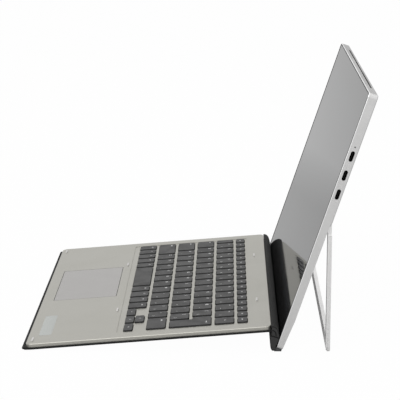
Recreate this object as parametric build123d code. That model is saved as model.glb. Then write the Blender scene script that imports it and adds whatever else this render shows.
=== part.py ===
from build123d import *
import os
from math import asin, atan2, cos, degrees, hypot, radians, sin

# A two-in-one tablet standing on its kickstand, with its keyboard cover attached and raised.
# Sizes are in millimetres and angles in degrees.
# The tablet is built upright in its own frame: X to the user's right, Y from the display to
# the back, Z up from the bottom edge. The keyboard is built flat in its own frame: X right,
# Y from the front to the rear edge, Z up from the deck's top face. Both are placed at the end.

# Tablet body
TABLET_WIDTH = 300.0
TABLET_HEIGHT = 231.9
TABLET_THICKNESS = 8.2
CORNER_RADIUS = 3.5
BOTTOM_CORNER_RADIUS = 2.0
CAVITY_CORNER_RADIUS = 5.0
BACK_EDGE_CHAMFER = 0.7
RIM_WIDTH = 0.9
SEAM_WIDTH = 0.35
GLASS_THICKNESS = 0.9
GLASS_BED = 1.2
SIDE_WALL = 2.8
BACK_WALL = 0.9
FIT_GAP = 0.1
PLAY = 0.3

# Layers behind the glass
PANEL_SIDE_BORDER = 15.0
PANEL_TOP_BORDER = 22.4
PANEL_LOW_BORDER = 26.5
PANEL_THICKNESS = 2.2
FRAME_PLATE_THICKNESS = 0.6
BOSS_RADIUS = 2.2
SCREW_RADIUS = 0.8
SCREW_HEAD_RADIUS = 1.6
SCREW_HEAD_HEIGHT = 0.3
UPPER_BOSS_RISE = 9.5
TOP_BOSS_DROP = 8.4
LOWER_BOSS_Z = 22.0
OUTER_BOSS_SIDE = 9.0
INNER_BOSS_SIDE = 50.0
LOWER_BOSS_SIDE = 32.0

# Kickstand
STAND_ANGLE = 18.5
STAND_AXIS_Y = 6.5
STAND_AXIS_DROP = 113.4
STAND_THICKNESS = 3.4
LEG_WIDTH = 11.5
BAR_WIDTH = 12.0
LEG_TOP_DROP = 11.5
LIP_WIDTH = 2.5
LIP_THICKNESS = 1.1
FOOT_CORNER_RADIUS = 4.0
INNER_CORNER_RADIUS = 6.0
ARM_WIDTH = 7.0
ARM_INSET = 4.0
EAR_WIDTH = 7.5
PIN_RADIUS = 0.8
PIN_CLEARANCE = 0.05
HINGE_POCKET_RISE = 4.8
NOTCH_TOP_Z = 118.0
TAPER_TOP_Z = 27.0
TAPER_KNEE_Z = 9.0
TAPER_KNEE_Y = 5.7
BOTTOM_EDGE_Y = 5.1

# Openings and small parts in the tablet's edges
PORT_Y = 4.2
PORT_WIDTH = 8.94
PORT_HEIGHT = 3.16
PORT_DEPTH = 7.3
PORT_WALL = 0.3
PORT_FIRST_DROP = 88.4
PORT_PITCH = 17.0
PORT_COUNT = 3
TONGUE_WIDTH = 6.7
TONGUE_THICKNESS = 0.7
LIGHT_DROP = 46.3
LIGHT_RADIUS = 0.55
JACK_DROP = 92.9
JACK_Y = 4.6
JACK_BORE_RADIUS = 1.8
JACK_NOSE_RADIUS = 2.5
JACK_BODY = 4.4
JACK_LENGTH = 14.0
BUTTON_Y = 4.4
BUTTON_WIDTH = 2.4
BUTTON_PROUD = 0.4
BUTTON_DEPTH = 2.0
POWER_DROP = 54.9
POWER_LENGTH = 12.0
VOLUME_DROP = 75.9
VOLUME_LENGTH = 22.0
FLANGE_MARGIN = 1.0
FLANGE_THICKNESS = 0.5
FLANGE_GAP = 0.1
ROCKER_FLANGE_GAP = 0.4
SWITCH_GAP = 0.45
VENT_LEFT_SIDE = 38.0
VENT_RIGHT_SIDE = 33.0
VENT_Y = 4.9
VENT_WIDTH = 1.5
VENT_RECESS = 1.0
VENT_DEPTH = 2.0
VENT_RIB_COUNT = 50
SPEAKER_SLIT_LENGTH = 29.5
SPEAKER_SLIT_DROP = 17.4
SPEAKER_SLIT_DEPTH = 0.6
REAR_CAMERA_X = 60.0
REAR_CAMERA_DROP = 11.9
REAR_CAMERA_RADIUS = 4.5
REAR_LENS_RADIUS = 3.2
CONTACT_STRIP_WIDTH = 32.0
CONTACT_STRIP_Y = 1.5
CONTACT_STRIP_THICKNESS = 1.9

# Parts inside the tablet
BATTERY_CELLS = 4
BATTERY_SIDE_GAP = 6.7
BATTERY_GAP = 2.0
BATTERY_LOW_Z = 27.0
BATTERY_HINGE_GAP = 6.5
BATTERY_THICKNESS = 2.9
BOARD_FAN_GAP = 7.0
BOARD_SIDE = 22.0
BOARD_RISE = 11.5
BOARD_DROP = 17.9
BOARD_THICKNESS = 0.8
FAN_SIDE = 50.0
FAN_DROP = 39.9
FAN_SIZE = 42.0
FAN_RADIUS = 17.0
FAN_ROTOR_RADIUS = 16.0
FAN_HUB_RADIUS = 6.0
FAN_BLADES = 17
FAN_WALL = 0.4
CPU_X = 10.0
CPU_DROP = 51.9
CPU_WIDTH = 32.0
CPU_HEIGHT = 22.0
CHIP_HEIGHT = 1.1
PIPE_WIDTH = 7.0
CARD_LEFT_X = 70.0
STORAGE_DROP = 42.9
WIRELESS_DROP = 81.9
MAGNET_LENGTH = 36.0
MAGNET_SIDE = 26.0
MAGNET_GAP = 14.0

# Keyboard cover
DECK_SIDE_INSET = 1.5
DECK_OVERHANG = 0.2
DECK_BAND = 3.2
DECK_PLATE = 1.4
DECK_WALL = 1.2
DECK_CORNER = 5.0
DECK_EDGE = 0.7
COVER_THICKNESS = 1.7
COVER_FRONT_LAP = 2.5
COVER_EDGE = 0.8

# Key field: key widths count in letter pitches, rows go from the rear edge forward
KEY_SIDE_BORDER = 13.7
FIELD_PITCHES = 14.676
KEY_GAP = 3.15
ROW_PITCH = 19.85
FIRST_ROW_DEPTH = 31.7
FUNCTION_ROW_DEPTH = 20.0
FUNCTION_KEY_DEPTH = 8.6
FUNCTION_KEYS = 17
NUMBER_KEYS = 14
UPPER_KEYS = 12
MIDDLE_KEYS = 12
LOWER_KEYS = 11
ENTER_TOP_PITCHES = 1.377
ENTER_FOOT_PITCHES = 1.089
RIGHT_SHIFT_PITCHES = 1.649
LEFT_MODIFIERS = 5
LEFT_MODIFIER_PITCHES = 0.855
RIGHT_MODIFIERS = 4
RIGHT_MODIFIER_PITCHES = 0.912
ARROW_PITCHES = 1.127
ARROW_SPLIT = 0.9
KEY_TOP = 0.8
KEY_THICKNESS = 1.8
KEY_TRAVEL = 1.2
KEY_CORNER = 1.3
KEY_TAPER = 9.0
KEY_HOLE_GAP = 0.35
FIELD_MARGIN = 2.0
FIELD_FRONT_DEPTH = 133.5
FIELD_REAR_DEPTH = 17.6
FIELD_RECESS = 0.4
DOME_RADIUS = 2.2
DOME_TOP_RADIUS = 1.5
DOME_SHEET = 0.2
CIRCUIT_THICKNESS = 0.28
SUPPORT_THICKNESS = 0.33
DOME_GAP = 0.1

# Touchpad and bumpers
TOUCHPAD_LEFT_X = -65.0
TOUCHPAD_RIGHT_X = 30.0
TOUCHPAD_FIELD_GAP = 7.8
TOUCHPAD_FRONT_BORDER = 10.5
TOUCHPAD_GLASS = 0.85
TOUCHPAD_BOARD = 0.9
TOUCHPAD_GAP = 0.45
TOUCHPAD_CORNER = 1.5
TOUCHPAD_SINK = 0.03
BUMPER_LENGTH = 9.0
BUMPER_WIDTH = 1.5
BUMPER_HEIGHT = 0.6
BUMPER_X = 72.0
BUMPER_REAR_DEPTH = 11.0
BUMPER_MID_GAP = 3.7
BUMPER_FRONT_SIDE = 11.0
BUMPER_FRONT_BORDER = 5.0
CONTROLLER_GAP = 22.0
CONTROLLER_SIDE = 26.5
CONTROLLER_FRONT_BORDER = 19.0
CONTROLLER_REAR_GAP = 8.7

# How the keyboard hangs from the tablet, in the tablet's frame
CREASE_Y = -4.3
CREASE_Z = 15.8
CREASE_BACK = 5.3
CREASE_DROP = 3.3
FLAP_SIDE_INSET = 0.5
FLAP_AXIS_Y = -2.4
FLAP_AXIS_Z = -1.95
FLAP_END_RADIUS = 1.3
FLAP_BACK_Y = -0.5
FLAP_TOP_Z = 9.0
FLAP_FRONT_Y = -7.9
FLAP_BELLY_Y = -7.1
FLAP_BELLY_Z = 4.6
SPINE_SIDE_INSET = 2.0
SPINE_FRONT_Y = -0.8
SPINE_BACK_Y = 4.9
SPINE_TOP_GAP = 0.15
SPINE_EDGE = 0.4
ROLL_Y = -3.3
ROLL_Z = 14.2

# Stance
LEAN = 18.3
FLOOR_DROP = 3.6


def block(x_low, x_high, y_low, y_high, z_low, z_high):
    """A plain box between two corners."""
    box = Box(x_high - x_low, y_high - y_low, z_high - z_low)
    return Pos((x_low + x_high) / 2, (y_low + y_high) / 2, (z_low + z_high) / 2) * box


def upright_slab(width, height, radius, y_low, y_high, x_mid=0.0, z_mid=0.0):
    """A rounded rectangle seen from the front, extruded from y_low to y_high."""
    plane = Plane(origin=(x_mid, y_low, z_mid), x_dir=(1, 0, 0), z_dir=(0, 1, 0))
    return extrude(plane * RectangleRounded(width, height, radius), amount=y_high - y_low)


def tablet_slab(inset, y_low, y_high):
    """The tablet's front outline drawn in by inset: round top corners and tighter bottom corners."""
    width = TABLET_WIDTH - 2 * inset
    height = TABLET_HEIGHT - 2 * inset
    lower_height = height / 2
    lower_radius = max(BOTTOM_CORNER_RADIUS - inset, SEAM_WIDTH)
    whole = upright_slab(width, height, CORNER_RADIUS - inset, y_low, y_high, z_mid=TABLET_HEIGHT / 2)
    lower = upright_slab(
        width, lower_height, lower_radius, y_low, y_high, z_mid=inset + lower_height / 2
    )
    return whole + lower


def flat_slab(x_low, x_high, y_low, y_high, radius, z_low, z_high):
    """A rounded rectangle seen from above, extruded from z_low to z_high."""
    plane = Plane(origin=((x_low + x_high) / 2, (y_low + y_high) / 2, z_low))
    outline = RectangleRounded(x_high - x_low, y_high - y_low, radius)
    return extrude(plane * outline, amount=z_high - z_low)


def side_profile(points, x_low, x_high):
    """An outline of (y, z) points, extruded across the width."""
    plane = Plane(origin=(x_low, 0, 0), x_dir=(0, 1, 0), z_dir=(1, 0, 0))
    return extrude(plane * make_face(Polyline(*points, close=True)), amount=x_high - x_low)


def rod_x(radius, x_low, x_high, y_mid, z_mid):
    """A round rod along X."""
    return Pos((x_low + x_high) / 2, y_mid, z_mid) * Rot(0, 90, 0) * Cylinder(radius, x_high - x_low)


def rod_y(radius, y_low, y_high, x_mid, z_mid):
    """A round rod along Y."""
    return Pos(x_mid, (y_low + y_high) / 2, z_mid) * Rot(90, 0, 0) * Cylinder(radius, y_high - y_low)


def side_oblong(length, width, x_low, x_high, y_mid, z_mid):
    """A long hole's shape in a side wall, its length along Z."""
    plane = Plane(origin=(x_low, y_mid, z_mid), x_dir=(0, 0, 1), z_dir=(1, 0, 0))
    return extrude(plane * SlotOverall(length, width), amount=x_high - x_low)


def both_sides(shape):
    """The shape and its mirror image across the middle of the width."""
    return [shape, mirror(shape, about=Plane.YZ)]


def group(shapes):
    """Separate solids kept in one node."""
    solids = []
    for shape in shapes:
        solids.extend(shape.solids())
    return Compound(children=solids)


def put(place, shape):
    """The shape moved solid by solid, so that a node of several solids carries no nested place."""
    solids = [place * solid for solid in shape.solids()]
    if len(solids) == 1:
        return solids[0]
    return Compound(children=solids)


# Shared places in the tablet
HALF_WIDTH = TABLET_WIDTH / 2
MID_Z = TABLET_HEIGHT / 2
PANEL_WIDTH = TABLET_WIDTH - 2 * PANEL_SIDE_BORDER
PANEL_HEIGHT = TABLET_HEIGHT - PANEL_TOP_BORDER - PANEL_LOW_BORDER
PANEL_CENTRE_Z = PANEL_LOW_BORDER + PANEL_HEIGHT / 2
STAND_AXIS_Z = TABLET_HEIGHT - STAND_AXIS_DROP
UPPER_BOSS_Z = STAND_AXIS_Z + UPPER_BOSS_RISE
TOP_BOSS_Z = TABLET_HEIGHT - TOP_BOSS_DROP
OUTER_BOSS_X = HALF_WIDTH - OUTER_BOSS_SIDE
INNER_BOSS_X = HALF_WIDTH - INNER_BOSS_SIDE
LOWER_BOSS_X = HALF_WIDTH - LOWER_BOSS_SIDE
PORT_FIRST_Z = TABLET_HEIGHT - PORT_FIRST_DROP
LIGHT_Z = TABLET_HEIGHT - LIGHT_DROP
JACK_Z = TABLET_HEIGHT - JACK_DROP
POWER_Z = TABLET_HEIGHT - POWER_DROP
VOLUME_Z = TABLET_HEIGHT - VOLUME_DROP
VENT_LEFT_X = VENT_LEFT_SIDE - HALF_WIDTH
VENT_RIGHT_X = HALF_WIDTH - VENT_RIGHT_SIDE
SPEAKER_SLIT_HIGH_Z = TABLET_HEIGHT - SPEAKER_SLIT_DROP
SPEAKER_SLIT_LOW_Z = SPEAKER_SLIT_HIGH_Z - SPEAKER_SLIT_LENGTH
REAR_CAMERA_Z = TABLET_HEIGHT - REAR_CAMERA_DROP
FAN_X = FAN_SIDE - HALF_WIDTH
FAN_Z = TABLET_HEIGHT - FAN_DROP
CPU_Z = TABLET_HEIGHT - CPU_DROP
STORAGE_Z = TABLET_HEIGHT - STORAGE_DROP
WIRELESS_Z = TABLET_HEIGHT - WIRELESS_DROP
BOARD_LEFT_X = FAN_X + FAN_SIZE / 2 + BOARD_FAN_GAP
BOARD_RIGHT_X = HALF_WIDTH - BOARD_SIDE
BOARD_LOW_Z = STAND_AXIS_Z + BOARD_RISE
BOARD_HIGH_Z = TABLET_HEIGHT - BOARD_DROP
BATTERY_HIGH_Z = STAND_AXIS_Z - BATTERY_HINGE_GAP
MAGNET_OUTER_X = HALF_WIDTH - MAGNET_SIDE
MAGNET_INNER_X = MAGNET_OUTER_X - MAGNET_LENGTH - MAGNET_GAP
MAGNET_LEFTS = (
    -MAGNET_OUTER_X, -MAGNET_INNER_X, MAGNET_INNER_X - MAGNET_LENGTH, MAGNET_OUTER_X - MAGNET_LENGTH
)
GLASS_INSET = RIM_WIDTH + SEAM_WIDTH
CAVITY_X = HALF_WIDTH - SIDE_WALL
CAVITY_BACK_Y = TABLET_THICKNESS - BACK_WALL
PANEL_FRONT_Y = GLASS_THICKNESS + 0.05
PANEL_BACK_Y = PANEL_FRONT_Y + PANEL_THICKNESS
PLATE_FRONT_Y = PANEL_BACK_Y + FIT_GAP
PLATE_BACK_Y = PLATE_FRONT_Y + FRAME_PLATE_THICKNESS
BAY_FRONT_Y = PLATE_BACK_Y + 0.05
STAND_BACK_Y = STAND_AXIS_Y + STAND_THICKNESS / 2
STAND_FRONT_Y = STAND_AXIS_Y - STAND_THICKNESS / 2
POCKET_Y = STAND_FRONT_Y - 0.2
STAND_SIDE_X = HALF_WIDTH - LIP_WIDTH
LEG_INNER_X = HALF_WIDTH - LEG_WIDTH
LEG_TOP_Z = STAND_AXIS_Z - LEG_TOP_DROP
ARM_OUTER_X = HALF_WIDTH - ARM_INSET
ARM_INNER_X = ARM_OUTER_X - ARM_WIDTH
EAR_OUTER_X = ARM_INNER_X - PLAY
EAR_INNER_X = EAR_OUTER_X - EAR_WIDTH
HINGE_POCKET_X = EAR_INNER_X - PLAY
BAY_X = HINGE_POCKET_X - 1.0
BATTERY_SPAN = 2 * (BAY_X - BATTERY_SIDE_GAP)
BATTERY_CELL_WIDTH = (BATTERY_SPAN - (BATTERY_CELLS - 1) * BATTERY_GAP) / BATTERY_CELLS
HINGE_POCKET_TOP_Z = STAND_AXIS_Z + HINGE_POCKET_RISE
NOTCH_Y = STAND_BACK_Y - LIP_THICKNESS - FIT_GAP
OUTSIDE = 5.0

# The leg's length puts the foot on the floor at the opened angle
FOOT_RADIUS = STAND_THICKNESS / 2
HINGE_HEIGHT = -STAND_AXIS_Y * sin(radians(LEAN)) + STAND_AXIS_Z * cos(radians(LEAN)) + FLOOR_DROP
LEG_LENGTH = FOOT_RADIUS + (HINGE_HEIGHT - FOOT_RADIUS) / cos(radians(STAND_ANGLE - LEAN))
FOOT_Z = STAND_AXIS_Z - LEG_LENGTH
BAR_TOP_Z = FOOT_Z + BAR_WIDTH
POCKET_LOW_Z = FOOT_Z - PLAY
BAY_LOW_Z = BAR_TOP_Z + PLAY + SIDE_WALL * 0.7
BAY_HIGH_Z = HINGE_POCKET_TOP_Z + 1.2

# The closed keyboard covers the glass from the crease to the top edge
DECK_WIDTH = TABLET_WIDTH - 2 * DECK_SIDE_INSET
DECK_DEPTH = TABLET_HEIGHT + DECK_OVERHANG - CREASE_Z - CREASE_BACK
COVER_WIDTH = TABLET_WIDTH
FLAP_WIDTH = TABLET_WIDTH - 2 * FLAP_SIDE_INSET
SPINE_WIDTH = TABLET_WIDTH - 2 * SPINE_SIDE_INSET
KEY_FIELD_WIDTH = DECK_WIDTH - 2 * KEY_SIDE_BORDER
KEY_PITCH = KEY_FIELD_WIDTH / FIELD_PITCHES
TOUCHPAD_REAR_DEPTH = FIELD_FRONT_DEPTH + TOUCHPAD_FIELD_GAP
TOUCHPAD_FRONT_DEPTH = DECK_DEPTH - TOUCHPAD_FRONT_BORDER
BUMPER_MID_DEPTH = FIELD_FRONT_DEPTH + BUMPER_MID_GAP
BUMPER_FRONT_X = DECK_WIDTH / 2 - BUMPER_FRONT_SIDE
BUMPER_FRONT_DEPTH = DECK_DEPTH - BUMPER_FRONT_BORDER

# The keyboard's slope rests its rounded front edge on the floor
COVER_BOTTOM = DECK_BAND + COVER_THICKNESS
CREASE_HEIGHT = -CREASE_Y * sin(radians(LEAN)) + CREASE_Z * cos(radians(LEAN)) + FLOOR_DROP
EDGE_REACH = CREASE_BACK + DECK_DEPTH + COVER_FRONT_LAP - COVER_EDGE
EDGE_DROP = COVER_BOTTOM - COVER_EDGE - CREASE_DROP
SLOPE = degrees(
    asin((CREASE_HEIGHT - COVER_EDGE) / hypot(EDGE_REACH, EDGE_DROP)) - atan2(EDGE_DROP, EDGE_REACH)
)
FOLD = LEAN + SLOPE


def lean_point(y, z):
    """World Y and Z of a point given in the tablet's frame, before centring."""
    lean = radians(LEAN)
    return y * cos(lean) + z * sin(lean), -y * sin(lean) + z * cos(lean) + FLOOR_DROP


def keyboard_to_tablet(y, z):
    """Tablet-frame Y and Z of a point given in the keyboard's frame."""
    fold = radians(FOLD)
    back = y - CREASE_BACK
    rise = z + CREASE_DROP
    return CREASE_Y + back * cos(fold) - rise * sin(fold), CREASE_Z + back * sin(fold) + rise * cos(fold)


# The object's front and back reach set the origin midway between them
FRONT_REACH = lean_point(*keyboard_to_tablet(-DECK_DEPTH - COVER_FRONT_LAP, -DECK_BAND))[0]
BACK_REACH = lean_point(TABLET_THICKNESS, TABLET_HEIGHT - BACK_EDGE_CHAMFER)[0]
CENTRE_Y = (FRONT_REACH + BACK_REACH) / 2

TABLET_PLACE = Pos(0, -CENTRE_Y, FLOOR_DROP) * Rot(-LEAN, 0, 0)
STAND_PLACE = (
    TABLET_PLACE
    * Pos(0, STAND_AXIS_Y, STAND_AXIS_Z)
    * Rot(STAND_ANGLE, 0, 0)
    * Pos(0, -STAND_AXIS_Y, -STAND_AXIS_Z)
)
KEYBOARD_PLACE = (
    TABLET_PLACE
    * Pos(0, CREASE_Y, CREASE_Z)
    * Rot(FOLD, 0, 0)
    * Pos(0, -CREASE_BACK, CREASE_DROP)
)


# Tablet pieces

def stand_frame(gap, lip):
    """The kickstand's U outline as a slab: gap widens it all round, lip adds the side lips."""
    half = HALF_WIDTH if lip else STAND_SIDE_X + gap
    top = LEG_TOP_Z + gap
    bottom = FOOT_Z - gap
    height = top - bottom + FOOT_CORNER_RADIUS
    outer = upright_slab(
        2 * half, height, FOOT_CORNER_RADIUS, STAND_FRONT_Y - gap, STAND_BACK_Y + gap,
        z_mid=bottom + height / 2,
    )
    hole_low = BAR_TOP_Z + gap
    hole_high = top + FOOT_CORNER_RADIUS + 2 * INNER_CORNER_RADIUS
    inner = upright_slab(
        2 * (LEG_INNER_X - gap), hole_high - hole_low, INNER_CORNER_RADIUS,
        STAND_FRONT_Y - OUTSIDE, STAND_BACK_Y + OUTSIDE, z_mid=(hole_low + hole_high) / 2,
    )
    above = block(
        -TABLET_WIDTH, TABLET_WIDTH, -OUTSIDE, TABLET_THICKNESS + OUTSIDE, top, top + 3 * FOOT_CORNER_RADIUS
    )
    return outer - inner - above


def lip_clearance(gap):
    """The side profile outside which the kickstand's lips lie."""
    return [
        (NOTCH_Y + gap, NOTCH_TOP_Z),
        (NOTCH_Y + gap, TAPER_TOP_Z),
        (TAPER_KNEE_Y + gap, TAPER_KNEE_Z),
        (BOTTOM_EDGE_Y + gap, 0),
        (BOTTOM_EDGE_Y + gap, -OUTSIDE),
        (TABLET_THICKNESS + OUTSIDE, -OUTSIDE),
        (TABLET_THICKNESS + OUTSIDE, NOTCH_TOP_Z),
    ]


def hinge_pocket():
    """The pocket behind each kickstand hinge."""
    return block(
        HINGE_POCKET_X, STAND_SIDE_X, POCKET_Y, TABLET_THICKNESS + OUTSIDE,
        LEG_TOP_Z - OUTSIDE, HINGE_POCKET_TOP_Z,
    )


def boss_places():
    """X and Z of each screw boss in the rear shell."""
    places = []
    for side in (-1, 1):
        places.append((side * OUTER_BOSS_X, UPPER_BOSS_Z))
        places.append((side * OUTER_BOSS_X, TOP_BOSS_Z))
        places.append((side * INNER_BOSS_X, TOP_BOSS_Z))
        places.append((side * LOWER_BOSS_X, LOWER_BOSS_Z))
    return places


def port_places():
    """Z of each data socket in the right side."""
    return [PORT_FIRST_Z + index * PORT_PITCH for index in range(PORT_COUNT)]


def rear_shell():
    """The metal body: rim, sides, back, kickstand recess and edge openings."""
    shell = tablet_slab(0, 0, TABLET_THICKNESS)
    shell = chamfer(shell.faces().sort_by(Axis.Y)[-1].edges(), BACK_EDGE_CHAMFER)
    shell -= tablet_slab(RIM_WIDTH, -OUTSIDE, GLASS_BED)
    shell -= upright_slab(
        2 * CAVITY_X, TABLET_HEIGHT - 2 * SIDE_WALL, CAVITY_CORNER_RADIUS,
        0, PLATE_BACK_Y, z_mid=MID_Z,
    )
    shell -= block(-CAVITY_X, CAVITY_X, 0, CAVITY_BACK_Y, BAY_HIGH_Z, TABLET_HEIGHT - SIDE_WALL)
    shell -= block(-BAY_X, BAY_X, 0, CAVITY_BACK_Y, BAY_LOW_Z, BAY_HIGH_Z + 1)
    for x_mid, z_mid in boss_places():
        shell += rod_y(BOSS_RADIUS, PLATE_BACK_Y + 0.05, CAVITY_BACK_Y + 0.1, x_mid, z_mid)
        shell -= rod_y(SCREW_RADIUS + 0.05, PLATE_BACK_Y, CAVITY_BACK_Y - 0.2, x_mid, z_mid)
    # Kickstand recess, hinge pockets and the side notches for its lips
    deep_cut = block(
        -STAND_SIDE_X, STAND_SIDE_X, POCKET_Y, TABLET_THICKNESS + OUTSIDE, POCKET_LOW_Z, LEG_TOP_Z + PLAY
    )
    inner_keep = upright_slab(
        2 * (LEG_INNER_X - PLAY), LEG_TOP_Z - BAR_TOP_Z + 2 * OUTSIDE, INNER_CORNER_RADIUS,
        0, TABLET_THICKNESS + 2 * OUTSIDE, z_mid=(LEG_TOP_Z + BAR_TOP_Z + PLAY) / 2 + OUTSIDE,
    )
    shell -= deep_cut - inner_keep
    for pocket in both_sides(hinge_pocket()):
        shell -= pocket
    for notch in both_sides(side_profile(lip_clearance(0), STAND_SIDE_X, HALF_WIDTH + OUTSIDE)):
        shell -= notch
    bottom_cut = side_profile(lip_clearance(0), -STAND_SIDE_X, STAND_SIDE_X)
    bottom_slice = block(
        -TABLET_WIDTH, TABLET_WIDTH, -OUTSIDE, TABLET_THICKNESS + OUTSIDE, -OUTSIDE, POCKET_LOW_Z
    )
    shell -= bottom_cut & bottom_slice
    # Sockets, light, jack, buttons
    for z_mid in port_places():
        shell -= side_oblong(
            PORT_WIDTH + 2 * FIT_GAP, PORT_HEIGHT + 2 * FIT_GAP, CAVITY_X - 1, HALF_WIDTH + 1, PORT_Y, z_mid
        )
    shell -= rod_x(LIGHT_RADIUS + FIT_GAP, CAVITY_X - 1, HALF_WIDTH + 1, PORT_Y, LIGHT_Z)
    shell -= rod_x(JACK_NOSE_RADIUS + FIT_GAP, -HALF_WIDTH - 1, 1 - CAVITY_X, JACK_Y, JACK_Z)
    for z_mid, length in ((POWER_Z, POWER_LENGTH), (VOLUME_Z, VOLUME_LENGTH)):
        shell -= side_oblong(
            length + 2 * PLAY, BUTTON_WIDTH + 2 * FIT_GAP, -HALF_WIDTH - 1, 1 - CAVITY_X, BUTTON_Y, z_mid
        )
    # Top vent, rear camera, bottom contacts
    shell -= block(
        VENT_LEFT_X, VENT_RIGHT_X, VENT_Y - VENT_WIDTH / 2, VENT_Y + VENT_WIDTH / 2,
        TABLET_HEIGHT - SIDE_WALL - 1, TABLET_HEIGHT + 1,
    )
    shell -= rod_y(
        REAR_CAMERA_RADIUS + FIT_GAP, CAVITY_BACK_Y - 1, TABLET_THICKNESS + 1, REAR_CAMERA_X, REAR_CAMERA_Z
    )
    half_strip = CONTACT_STRIP_WIDTH / 2 + FIT_GAP
    shell -= block(
        -half_strip, half_strip, CONTACT_STRIP_Y - FIT_GAP,
        CONTACT_STRIP_Y + CONTACT_STRIP_THICKNESS + FIT_GAP, -1, SIDE_WALL + 1,
    )
    return shell


def cover_glass():
    """The front glass, with the speaker slits in its side edges."""
    glass = tablet_slab(GLASS_INSET, 0, GLASS_THICKNESS)
    edge_x = HALF_WIDTH - GLASS_INSET
    slit = block(
        edge_x - SPEAKER_SLIT_DEPTH, edge_x + 1, -1, GLASS_THICKNESS + 1,
        SPEAKER_SLIT_LOW_Z, SPEAKER_SLIT_HIGH_Z,
    )
    for cut in both_sides(slit):
        glass -= cut
    return glass


def display_gasket():
    """The soft frame that carries the glass and fills its seam."""
    def ring(outer_inset, inner_inset, y_low, y_high):
        return tablet_slab(outer_inset, y_low, y_high) - tablet_slab(inner_inset, y_low - 1, y_high + 1)

    bed = ring(RIM_WIDTH + 0.05, SIDE_WALL, GLASS_THICKNESS + 0.03, GLASS_BED - 0.03)
    lip = ring(RIM_WIDTH + 0.05, GLASS_INSET - 0.05, 0.2, GLASS_BED - 0.03)
    return bed + lip


def display_panel():
    """The display, bonded behind the glass."""
    return upright_slab(
        PANEL_WIDTH, PANEL_HEIGHT, 1.0, PANEL_FRONT_Y, PANEL_BACK_Y, z_mid=PANEL_CENTRE_Z
    )


def mid_frame():
    """The stiff plate behind the display that carries the inner parts."""
    plate = upright_slab(
        2 * CAVITY_X - 2 * PLAY, TABLET_HEIGHT - 2 * SIDE_WALL - 2 * PLAY, CAVITY_CORNER_RADIUS - PLAY,
        PLATE_FRONT_Y, PLATE_BACK_Y, z_mid=MID_Z,
    )
    for x_mid, z_mid in boss_places():
        plate -= rod_y(SCREW_RADIUS + FIT_GAP, 0, TABLET_THICKNESS, x_mid, z_mid)
    port_low = PORT_FIRST_Z - PORT_WIDTH
    port_high = port_places()[-1] + PORT_WIDTH
    edge_x = PANEL_WIDTH / 2 + 0.5
    plate -= block(edge_x, HALF_WIDTH, 0, TABLET_THICKNESS, port_low, port_high)
    jack_half = JACK_BODY / 2 + 1
    plate -= block(-HALF_WIDTH, -edge_x, 0, TABLET_THICKNESS, JACK_Z - jack_half, JACK_Z + jack_half)
    relief_x = -CAVITY_X + ROCKER_FLANGE_GAP + FLANGE_THICKNESS + SWITCH_GAP
    for z_mid, length in ((POWER_Z, POWER_LENGTH), (VOLUME_Z, VOLUME_LENGTH)):
        relief_half = length / 2 + FLANGE_MARGIN + PLAY
        plate -= block(-HALF_WIDTH, relief_x, 0, TABLET_THICKNESS, z_mid - relief_half, z_mid + relief_half)
    return plate


def frame_screws():
    """The screws that hold the plate to the shell's bosses."""
    screws = []
    for x_mid, z_mid in boss_places():
        shank = rod_y(SCREW_RADIUS, PLATE_FRONT_Y, CAVITY_BACK_Y - 0.4, x_mid, z_mid)
        head = rod_y(SCREW_HEAD_RADIUS, PLATE_FRONT_Y - SCREW_HEAD_HEIGHT, PLATE_FRONT_Y, x_mid, z_mid)
        screws.append(shank + head)
    return group(screws)


def battery_pack():
    """Flat cells side by side under the display's lower half."""
    cells = []
    for index in range(BATTERY_CELLS):
        x_low = -BATTERY_SPAN / 2 + index * (BATTERY_CELL_WIDTH + BATTERY_GAP)
        cells.append(
            upright_slab(
                BATTERY_CELL_WIDTH, BATTERY_HIGH_Z - BATTERY_LOW_Z, 2.0,
                BAY_FRONT_Y, BAY_FRONT_Y + BATTERY_THICKNESS,
                x_mid=x_low + BATTERY_CELL_WIDTH / 2, z_mid=(BATTERY_LOW_Z + BATTERY_HIGH_Z) / 2,
            )
        )
    return group(cells)


BOARD_BACK_Y = BAY_FRONT_Y + BOARD_THICKNESS
CHIP_BACK_Y = BOARD_BACK_Y + CHIP_HEIGHT


def main_board():
    """The main circuit board with its processor, memory and power parts."""
    board = block(BOARD_LEFT_X, BOARD_RIGHT_X, BAY_FRONT_Y, BOARD_BACK_Y, BOARD_LOW_Z, BOARD_HIGH_Z)
    board += block(
        CPU_X - CPU_WIDTH / 2, CPU_X + CPU_WIDTH / 2, BOARD_BACK_Y, CHIP_BACK_Y,
        CPU_Z - CPU_HEIGHT / 2, CPU_Z + CPU_HEIGHT / 2,
    )
    for index in range(4):
        x_low = CPU_X + CPU_WIDTH / 2 + 5 + index * 12
        board += block(x_low, x_low + 9, BOARD_BACK_Y, CHIP_BACK_Y, CPU_Z - 7, CPU_Z + 7)
    for index in range(6):
        x_low = BOARD_LEFT_X + 8 + index * 9
        board += block(x_low, x_low + 6, BOARD_BACK_Y, CHIP_BACK_Y, BOARD_LOW_Z + 8, BOARD_LOW_Z + 14)
    return board


def heat_spreader():
    """The copper plate on the processor, with a flat pipe to the fan."""
    y_low = CHIP_BACK_Y + 0.02
    plate = block(
        CPU_X - CPU_WIDTH / 2 - 3, CPU_X + CPU_WIDTH / 2 + 3, y_low, y_low + 0.8,
        CPU_Z - CPU_HEIGHT / 2 - 3, CPU_Z + CPU_HEIGHT / 2 + 3,
    )
    pipe = block(
        FAN_X + FAN_SIZE / 2 + PLAY, CPU_X, y_low, y_low + 0.8,
        CPU_Z - PIPE_WIDTH / 2, CPU_Z + PIPE_WIDTH / 2,
    )
    return plate + pipe


FAN_LOW_Y = BAY_FRONT_Y
FAN_HIGH_Y = CAVITY_BACK_Y - FIT_GAP


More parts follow.
